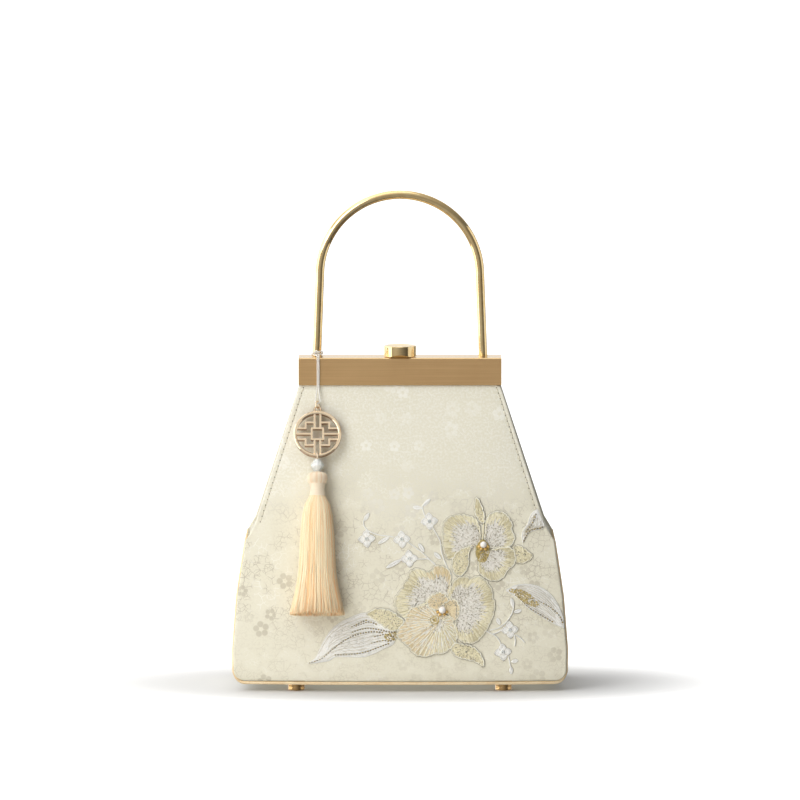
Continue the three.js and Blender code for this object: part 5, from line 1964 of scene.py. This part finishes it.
            # A thin dark line beside the stem, to the lower right: a painted shadow.
            self._painted_shadow_line(line + (self.shadow_line_offset, -0.3), 0.14, 0.8)
        for root, tip in self.leaflets:
            self._work_leaflet(np.array(root), np.array(tip))
        for spot in self.sprigs:
            self._work_sprig(np.array(spot))
        for thread, shapes in self.grounds.items():
            self.keep(self._ground(thread, shapes))
        self._sew()
        self._set_pearls()

    def _stitch(self, thread: Thread, start: Array, end: Array, lift: float, tint: float,
                girth: float = 1.0) -> None:
        """Notes a stitch on the face: its ends, its lift off the cloth, its light share and its girth."""
        self.stitches.setdefault(thread, []).append((*start, *end, lift, tint, girth))

    def _cord(self, thread: Thread, line: Array, lift: float) -> None:
        """Notes a couched cord along a line on the face, at a lift above the cloth."""
        self.cords.setdefault(thread, []).append(np.column_stack([line, np.full(len(line), lift)]))

    def _painted_shadow_line(self, line: Array, lift: float, tint: float = 0.9) -> None:
        """Notes a thin dark umber line along a line on the face, at a lift above the cloth, as a painted shadow
        line.
        """
        self.fine.append((np.column_stack([line, np.full(len(line), lift)]), tint))

    def _rise(self, inset: float, level: float) -> float:
        """Height of a petal's padded ground at a distance inside its outline."""
        return level + self.relief * (1 - exp(-max(inset, 0) / self.relief_run))

    def _rim_thread(self, petal: Petal, spot: Array) -> Thread:
        """The rim's thread at a spot; a second thread takes over along the petal's change.

        Args:
            petal: The petal.
            spot: The spot on the face.

        Returns:
            The thread.
        """
        begin, finish = np.array(petal.change)
        share = float((spot - begin) @ (finish - begin) / ((finish - begin) @ (finish - begin)))
        taken = petal.second is not None and share + self.rng.normal(0, 0.25) > 0.5
        return petal.second if taken else petal.rim_thread

    def _work_petal(self, petal: Petal) -> None:
        """Works a petal on a padded ground: its rim, its seeds, and a cord at its edge with a thin dark line
        just outside it, a painted shadow line that also reads as an outline stitch.

        Args:
            petal: The petal.
        """
        loop = spline(petal.outline, self.stitch_width * self.rim_pitch, closed=True)[:-1]
        run = np.arange(len(loop)) * self.stitch_width * self.rim_pitch
        loop = offset_loop(loop, sum(height * np.sin(run * pace) for height, pace in self.ripple))
        self.grounds.setdefault(petal.fill_thread, []).append((loop, petal.level))
        self._work_rim(petal, loop)
        self._work_seeds(petal, loop)
        self._cord(petal.edge_thread, rejoined(loop[::2]), petal.level + self.edge_lift)
        self._painted_shadow_line(rejoined(offset_loop(loop[::2], self.shadow_line_offset)), petal.level + 0.12, 0.5)

    def _work_rim(self, petal: Petal, loop: Array) -> None:
        """Works the rim of a petal in rows of long and short stitches, with light rays where it has them.

        Args:
            petal: The petal.
            loop: Its outline.
        """
        rng, way = self.rng, np.array(petal.heart) - loop
        reach = np.linalg.norm(way, axis=1)
        patch = 0.55 + 0.3 * np.sin(np.arange(len(loop)) * 0.11 + len(loop))
        rows = max(2, int(round(petal.rim * np.median(reach) / self.rim_row)))
        stops = np.linspace(0, petal.rim, rows + 1)[1:]
        for k, spot in enumerate(loop):
            if reach[k] < self.least_reach:
                continue
            ends = np.sort(np.clip(stops * rng.uniform(*self.rim_uneven, rows), 0, 0.96))
            begin = 0.0
            ray = petal.rays and k % petal.rays == 0
            thread = Thread.CREAM if ray else self._rim_thread(petal, spot)
            for row, finish in enumerate(ends):
                start = max(0.0, begin - self.rim_overlap) if row else 0.01
                rise = self._rise((start + finish) / 2 * reach[k], petal.level)
                tint = np.clip(patch[k] + 0.1 * (1 - row) + rng.normal(0, self.rim_tints), 0, 1)
                if ray or row == 0 or k % 2 == row % 2 or petal.rim < 0.5:
                    lift, tint = (rise + 0.1, 1.0) if ray else (rise + 0.05, tint)
                    self._stitch(thread, spot + way[k] * start, spot + way[k] * finish, lift, tint)
                begin = finish

    def _work_seeds(self, petal: Petal, loop: Array) -> None:
        """Fills a petal inside its rim with short stitches and dark umber dots, painted shade of the gaps
        between them.

        Args:
            petal: The petal.
            loop: Its outline.
        """
        rng, way = self.rng, np.array(petal.heart) - loop
        reach = np.linalg.norm(way, axis=1)
        area = 0.5 * abs(twice_area(loop))
        for _ in range(int(area * self.seed_density * (1 - petal.rim) ** 1.2)):
            k = int(rng.integers(len(loop)))
            share = 1 - (1 - petal.rim * 0.85) * sqrt(rng.uniform(0.01, 1))
            middle = loop[k] + way[k] * share
            turn = atan2(way[k][1], way[k][0]) + rng.normal(0, 0.35)
            # Some stitches are dark umber dots, painted shade of the gaps in the fill.
            dark = rng.uniform() < self.gap_shade_share * petal.gap_shade_specks
            lengths, lift, tints = self.gap_shade_speck if dark else self.seed
            half = np.array([cos(turn), sin(turn)]) * rng.uniform(*lengths)
            self._stitch(Thread.UMBER if dark else petal.fill_thread, middle - half, middle + half,
                         self._rise(share * reach[k], petal.level) + lift, rng.uniform(*tints))

    def _work_leaf(self, leaf: WhiteLeaf) -> None:
        """Works a long leaf: rows of satin, thin dark lines between them as painted shade, gold veins and
        seeds, corded edges with a painted shadow line along them.

        Args:
            leaf: The leaf.
        """
        rng = self.rng
        upper, lower = (spline(edge, 0.6) for edge in (leaf.upper, leaf.lower))
        self.grounds.setdefault(Thread.WHITE, []).append((np.concatenate([upper, lower[-2:0:-1]]), 0.0))
        run = float(steps(upper).sum())
        stops = np.linspace(0, 1, int(run * 2))
        sides = [np.stack([np.interp(stops, np.linspace(0, 1, len(e)), e[:, k]) for k in (0, 1)], -1)
                 for e in (upper, lower)]
        width = np.linalg.norm(sides[0] - sides[1], axis=1)
        rows = int(width.max() / (self.stitch_width * self.satin_pitch))
        length = int(round(len(stops) * self.satin_length / run))
        for row in range(1, rows):
            t = row / rows
            start = int(rng.integers(0, length))
            while start < len(stops) - 3:
                stop = min(start + int(length * rng.uniform(0.8, 1.2)), len(stops) - 1)
                a, b = (sides[0][k] * (1 - t) + sides[1][k] * t for k in (start, stop))
                middle = (start + stop) // 2
                if width[middle] / rows > 0.1 or row % 3 == 0:
                    inset = min(t, 1 - t) * width[middle]
                    thread = Thread.LILAC if row % 4 == 1 else Thread.WHITE
                    self._stitch(thread, a, b, self._rise(inset, 0.0) + 0.05, rng.uniform(0.3, 1.0))
                start = stop
        # Thin dark lines between the satin rows: painted shade between them.
        for t in np.arange(0.1, 0.95, 0.08):
            begin, finish = (int(s * len(stops)) for s in (rng.uniform(0.12, 0.4), rng.uniform(0.55, 0.88)))
            self._painted_shadow_line((sides[0] * (1 - t) + sides[1] * t)[begin:finish:3], self.relief + 0.18, 1.0)
        for vein in leaf.veins:
            line = spline(vein, self.vein_pitch)
            for k, (a, b) in enumerate(zip(line, line[1:])):
                girth = 1.15 + 0.85 * k / len(line)
                thread = Thread.UMBER if k % 2 else Thread.OLIVE
                self._stitch(thread, a, a + (b - a) * 0.66, self.relief + self.vein_lift,
                             rng.uniform(0.0, 0.35), girth)
        if leaf.patch:
            self._gild(np.array(leaf.patch))
        for edge in (upper, lower):
            self._cord(Thread.WHITE, edge, self.leaf_edge_lift)
        # A thin dark line round the leaf: a painted shadow line at its edge.
        self._painted_shadow_line(np.concatenate([upper, lower[-2::-1]]), 0.05, 0.7)

    def _gild(self, loop: Array) -> None:
        """Fills a patch with gold seed stitches.

        Args:
            loop: Outline of the patch.
        """
        rng, gold = self.rng, np.array(self.gold, object)
        low, high = loop.min(axis=0), loop.max(axis=0)
        spots = rng.uniform(low, high, (int(np.prod(high - low) * self.gold_density), 2))
        for spot in spots[inside(loop, spots)]:
            turn = rng.normal(-0.5, 0.4)
            half = np.array([cos(turn), sin(turn)]) * rng.uniform(0.35, 0.6)
            thread = rng.choice(gold, p=self.gold_shares)
            self._stitch(thread, spot - half, spot + half, self.relief + rng.uniform(0.22, 0.36),
                         rng.uniform(0.2, 1.0), 1.1)

    def _work_leaflet(self, root: Array, tip: Array) -> None:
        """Works a small white leaf of slanting stitches between its root and its tip.

        Args:
            root: Where it starts on the face.
            tip: Where it ends.
        """
        way = tip - root
        ahead = way / np.linalg.norm(way)
        side = np.array([-ahead[1], ahead[0]])
        for share in np.arange(0.06, 0.98, self.leaflet_pitch / np.linalg.norm(way)):
            half = self.leaflet_reach * sin(pi * share) ** self.leaflet_power + 0.15
            middle = root + way * share
            for hand in (1, -1):
                self._stitch(Thread.WHITE, middle, middle + side * hand * half + ahead * 0.5,
                             self.leaflet_lift, self.rng.uniform(0.5, 1.0))
        shares = np.linspace(0, 1, 14)
        bow = 1.3 * np.sin(pi * shares) ** self.leaflet_power + 0.3
        for hand in (1, -1):
            # Thin dark lines along both sides of the leaflet: painted shadow lines.
            self._painted_shadow_line(root + way * shares[:, None] * 1.08 + side * hand * bow[:, None], 0.08)

    def _work_sprig(self, middle: Array) -> None:
        """Works a white flower of four petals, with its corners up, down, left and right.

        Args:
            middle: Its heart on the face.
        """
        turns = np.linspace(0, tau, 56, endpoint=False)
        lobes = 1 - 0.16 * np.exp(-((np.abs(np.sin(2 * turns)) - 1) / 0.12) ** 2)
        square = np.abs(np.cos(turns)) ** self.sprig_power + np.abs(np.sin(turns)) ** self.sprig_power
        reach = self.sprig_reach * lobes / square
        out = np.stack([np.cos(turns + 0.1), np.sin(turns + 0.1)], -1)
        edge = middle + out * reach[:, None]
        self.grounds.setdefault(Thread.WHITE, []).append((edge, -0.2))
        for begin, finish in self.sprig_rows:
            for k in range(len(turns)):
                far = reach[k] * finish * self.rng.uniform(0.92, 1.0)
                self._stitch(Thread.WHITE, middle + out[k] * reach[k] * begin, middle + out[k] * far,
                             self.sprig_lift, self.rng.uniform(0.3, 1.0))
        self._cord(Thread.WHITE, rejoined(edge), self.sprig_edge_lift)
        # A thin dark line outside the sprig's edge: a painted shadow line.
        self._painted_shadow_line(rejoined(offset_loop(edge, self.shadow_line_offset)), 0.1)
        # Thin dark lines between its petals: painted shade.
        for k in range(len(turns) // 8, len(turns), len(turns) // 4):
            self._painted_shadow_line(np.linspace(middle + out[k] * 1.3, edge[k], 5), 0.5)

    def _ground(self, thread: Thread, shapes: Sequence[tuple[Array, float]]) -> Piece:
        """Padded grounds under the stitches, each a low closed dome.

        Args:
            thread: Their thread.
            shapes: Outline and level of each dome.

        Returns:
            The grounds in one mesh.
        """
        stacks = []
        for loop, level in shapes:
            loop = loop[::2]
            middle = loop.mean(axis=0)
            reach = np.linalg.norm(loop - middle, axis=1)
            rings = [FORM.on_face(*(loop.T * MM), self.ground_sunk * MM)]
            for share in self.ground_rings:
                lift = np.array([self._rise(share * r, level) + self.ground_lift for r in reach])
                rings.append(FORM.on_face(*((loop + (middle - loop) * share).T * MM), lift * MM))
            stacks.append(rings)
        return padding(f"embroidery_ground_{thread.name.lower()}", stacks, thread, 0.55)

    def _sew(self) -> None:
        """Turns the noted stitches, cords and painted shadow lines into one mesh for each thread."""
        for thread, rows in self.stitches.items():
            x0, z0, x1, z1, lift, tint, girth = np.array(rows).T
            start, end = FORM.on_face(x0 * MM, z0 * MM), FORM.on_face(x1 * MM, z1 * MM)
            facing = FORM.facing((x0 + x1) / 2 * MM, (z0 + z1) / 2 * MM)
            middle = (start + end) / 2 + facing * lift[:, None] * MM
            points = carrier(f"embroidery_stitches_{thread.name.lower()}", middle, facing=facing, tint=tint,
                             along=(end - start) * self.stitch_overrun, girth=girth)
            self.keep(stitch_tree().run(points, Width=self.stitch_width * MM, Height=self.stitch_height * MM,
                                        Material=thread.material))
        for thread, lines in self.cords.items():
            self.keep(plied(f"embroidery_cord_{thread.name.lower()}", self._laid(lines), self.cord_ply * MM,
                            self.cord_twist, thread.material, tints=self.rng.uniform(0.55, 0.95, len(lines))))
        lines, tints = zip(*self.fine)
        self.keep(tubes("embroidery_fine_lines", self._laid(lines), self.shadow_line_radius * MM, 5,
                        Thread.UMBER.material, tints=tints))

    def _laid(self, lines: Sequence[Array]) -> list[Array]:
        """Noted lines as points above the cloth."""
        return [FORM.on_face(*(line.T * MM)) for line in lines]

    def _set_pearls(self) -> None:
        """Sets the drilled pearls, the gold seed beads round them and the ring beads of the sprigs."""
        drilled = [(sin(t), cos(t)) for t in np.linspace(0.12, pi - 0.12, 15)]
        bore = [(drilled[-1][0] * 0.9, -0.93), (drilled[0][0] * 0.9, 0.93)]
        ring = [(0.64 + 0.36 * cos(t), 0.5 * sin(t)) for t in np.linspace(0, tau, 11)]
        round_bead = lathe("round_bead", [*drilled, *bore, drilled[0]], 24)
        ring_bead = lathe("ring_bead", ring, 20)
        seeds = [(x + (r + self.bead_gap) * cos(turn), z + (r + self.bead_gap) * sin(turn))
                 for x, z, r in self.pearl_spots for turn in map(radians, self.bead_turns)]
        for name, pattern, finish, upright, rows in (
            ("pearls", round_bead, PearlLustre().material(), 0.0,
             [(x, z, r, self.pearl_lift + r) for x, z, r in self.pearl_spots]),
            ("gold_seed_beads", round_bead, Metal.SEED.material, 0.0,
             [(x, z, self.bead_radius, self.bead_lift) for x, z in seeds]),
            ("sprig_beads", ring_bead, Opal().material(), 1.0,
             [(x, z, self.ring_radius, self.ring_lift) for x, z in self.sprigs]),
        ):
            x, z, radius, lift = np.array(rows).T * MM
            facing = FORM.facing(x, z)
            axis = facing * upright + np.cross(facing, (0, 0, 1)) * (1 - upright)
            points = carrier(name, FORM.on_face(x, z, lift), facing=axis, girth=radius)
            self.keep(stud_tree().run(points, Shape=pattern, Material=finish))
        for pattern in (round_bead, ring_bead):
            bpy.data.objects.remove(pattern)

    def dress(self) -> None:
        """Puts the embroidery on the bag."""
        beads = {"gold_seed_beads": Slot.POLISHED, "pearls": Slot.PEARL, "sprig_beads": Slot.PEARL}
        for name in self.pieces:
            nodes = ("pearl_upper", "pearl_lower") if name == "pearls" else ()
            self.fit(name, beads.get(name, Slot.THREAD), *nodes)


@dataclass(frozen=True)
class Lamp:
    """A square soft light: its place, its side in metres, its power and colour, and what it is seen by."""

    name: str
    place: Triple
    size: float
    power: float
    colour: Triple = (1.0, 1.0, 1.0)
    mirrored: bool = True
    lights_cloth: bool = True

    def build(self, target: Vector) -> None:
        """Sets the light up, turned to a place.

        Args:
            target: The place.
        """
        lamp = bpy.data.lights.new(self.name, "AREA")
        lamp.energy, lamp.size, lamp.color = self.power, self.size, self.colour
        holder = new_object(self.name, lamp)
        holder.location = self.place
        holder.visible_camera = False
        holder.visible_glossy = self.mirrored
        holder.visible_diffuse = self.lights_cloth
        turn_to(holder, target)


@dataclass
class Studio:
    """A pale floor that glows white away from the bag, soft lights and the camera in front of the bag."""

    aim: Spot = (0.0, 0.1797)
    distance: float = 5.0
    elevation: float = radians(6.0)
    view_width: float = 0.5035
    sensor: float = 36.0
    far: float = 20.0
    sky_colour: Colour = (1.0, 0.995, 0.985, 1.0)
    sky: float = 0.24
    sky_front: float = 0.16
    sky_back: float = 0.9
    sky_top: float = 0.6
    sky_sides: Spot = (1.4, 0.3)
    floor_reach: float = 16.0
    floor_stretch: Triple = (1.0, 2.2, 0.0)
    # Where the floor's painted glow starts and where it is full, and its strength.
    floor_glow: Spot = (0.12, 0.3)
    floor_painted_glow: float = 0.9
    floor_tones: tuple[Colour, Colour] = (tone(222, 222, 222), tone(228, 228, 227))
    lit_middle: float = 0.12
    lights: tuple[Lamp, ...] = (
        Lamp("softbox_left", (-0.8, -0.85, 0.8), 0.75, 6.6),
        Lamp("softbox_right", (1.6, -1.5, 0.9), 0.5, 0.1),
        Lamp("softbox_top", (-0.45, -0.1, 2.1), 1.8, 7.5),
        Lamp("floor_bounce", (-0.3, -0.7, -0.3), 0.7, 3.3, (1.0, 0.95, 0.85), mirrored=False),
        Lamp("strip_left", (-1.2, 0.0, 0.25), 1.3, 10.0, lights_cloth=False),
        Lamp("strip_right", (1.2, 0.0, 0.25), 1.4, 5.0, lights_cloth=False),
    )

    def build(self) -> None:
        """Makes the floor, the lights, the world and the camera."""
        scene = bpy.context.scene
        scene.view_settings.view_transform = "Standard"
        self._floor()
        scene.world = self._air()
        for light in self.lights:
            light.build(Vector((0, 0, self.lit_middle)))
        lens = bpy.data.cameras.new("front_camera")
        lens.sensor_width = self.sensor
        lens.lens = self.sensor * self.distance / self.view_width
        lens.clip_end = self.far
        camera = new_object("front_camera", lens)
        target = Vector((self.aim[0], 0, self.aim[1]))
        back = Vector((0, -cos(self.elevation), sin(self.elevation)))
        camera.location = target + back * self.distance
        turn_to(camera, target)
        scene.camera = camera

    def _air(self) -> bpy.types.World:
        """The light of the room: bright behind, above and on the left, dark behind the camera.

        Returns:
            The world.
        """
        world = bpy.data.worlds.new("studio_air")
        world.use_nodes = True
        sheet = NodeSheet(world.node_tree)
        way = sheet.add("ShaderNodeSeparateXYZ", sheet.add("ShaderNodeTexCoord").outputs["Generated"]).outputs
        ends = sheet.math("ADD", sheet.band(way["Y"], 0.3, 0.9, 0.0, self.sky_back),
                          sheet.band(way["Y"], -0.3, -0.95, 0.0, self.sky_front))
        room = sheet.math("ADD", sheet.band(way["Z"], 0.2, 0.9, self.sky, self.sky + self.sky_top), ends)
        glow = world.node_tree.nodes["Background"]
        glow.inputs["Color"].default_value = self.sky_colour
        sides = sheet.band(way["X"], -0.9, 0.9, *self.sky_sides)
        sheet.plug(glow.inputs["Strength"], sheet.times(sides, room))
        return world

    def _floor(self) -> None:
        """A wide pale floor with a painted glow that turns it white away from the bag and sets where the bag's
        shadow fades.
        """
        shape = bmesh.new()
        bmesh.ops.create_circle(shape, cap_ends=True, radius=self.floor_reach, segments=96)
        floor = plain_mesh("pale_floor", shape)
        sheet = ShaderSheet("pale_paper")
        place = sheet.place()
        cloud = sheet.noise(place, 3.0)
        away = sheet.length(sheet.vector("MULTIPLY", place, self.floor_stretch))
        floor.data.materials.append(sheet.wear(
            Base_Color=sheet.mix(cloud, *self.floor_tones),
            Roughness=0.9,
            Emission_Color=(1.0, 1.0, 1.0, 1.0),
            Emission_Strength=sheet.band(away, *self.floor_glow, 0.0, self.floor_painted_glow),
        ))
        floor.visible_glossy = False
        floor.visible_diffuse = False
        floor.visible_shadow = False
        floor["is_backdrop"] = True


def write_sizes() -> None:
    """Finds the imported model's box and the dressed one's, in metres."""
    boxes = {name: [list(map(float, corner)) for corner in box] for name, box in (("cad", CAD_BOX), ("visual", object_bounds()))}


def main() -> None:
    """Builds the studio and the bag in order."""
    logging.basicConfig(level=logging.INFO, format="%(name)s: %(message)s")
    Studio().build()
    for assembly in (TasselCharm(), SewnBody(), BoxFrame(), ThumbClasp(), Embroidery()):
        assembly.build()
        assembly.dress()
        LOG.info("%s: %d pieces", type(assembly).__name__, len(assembly.pieces))
    write_sizes()


if __name__ == "__main__":
    main()
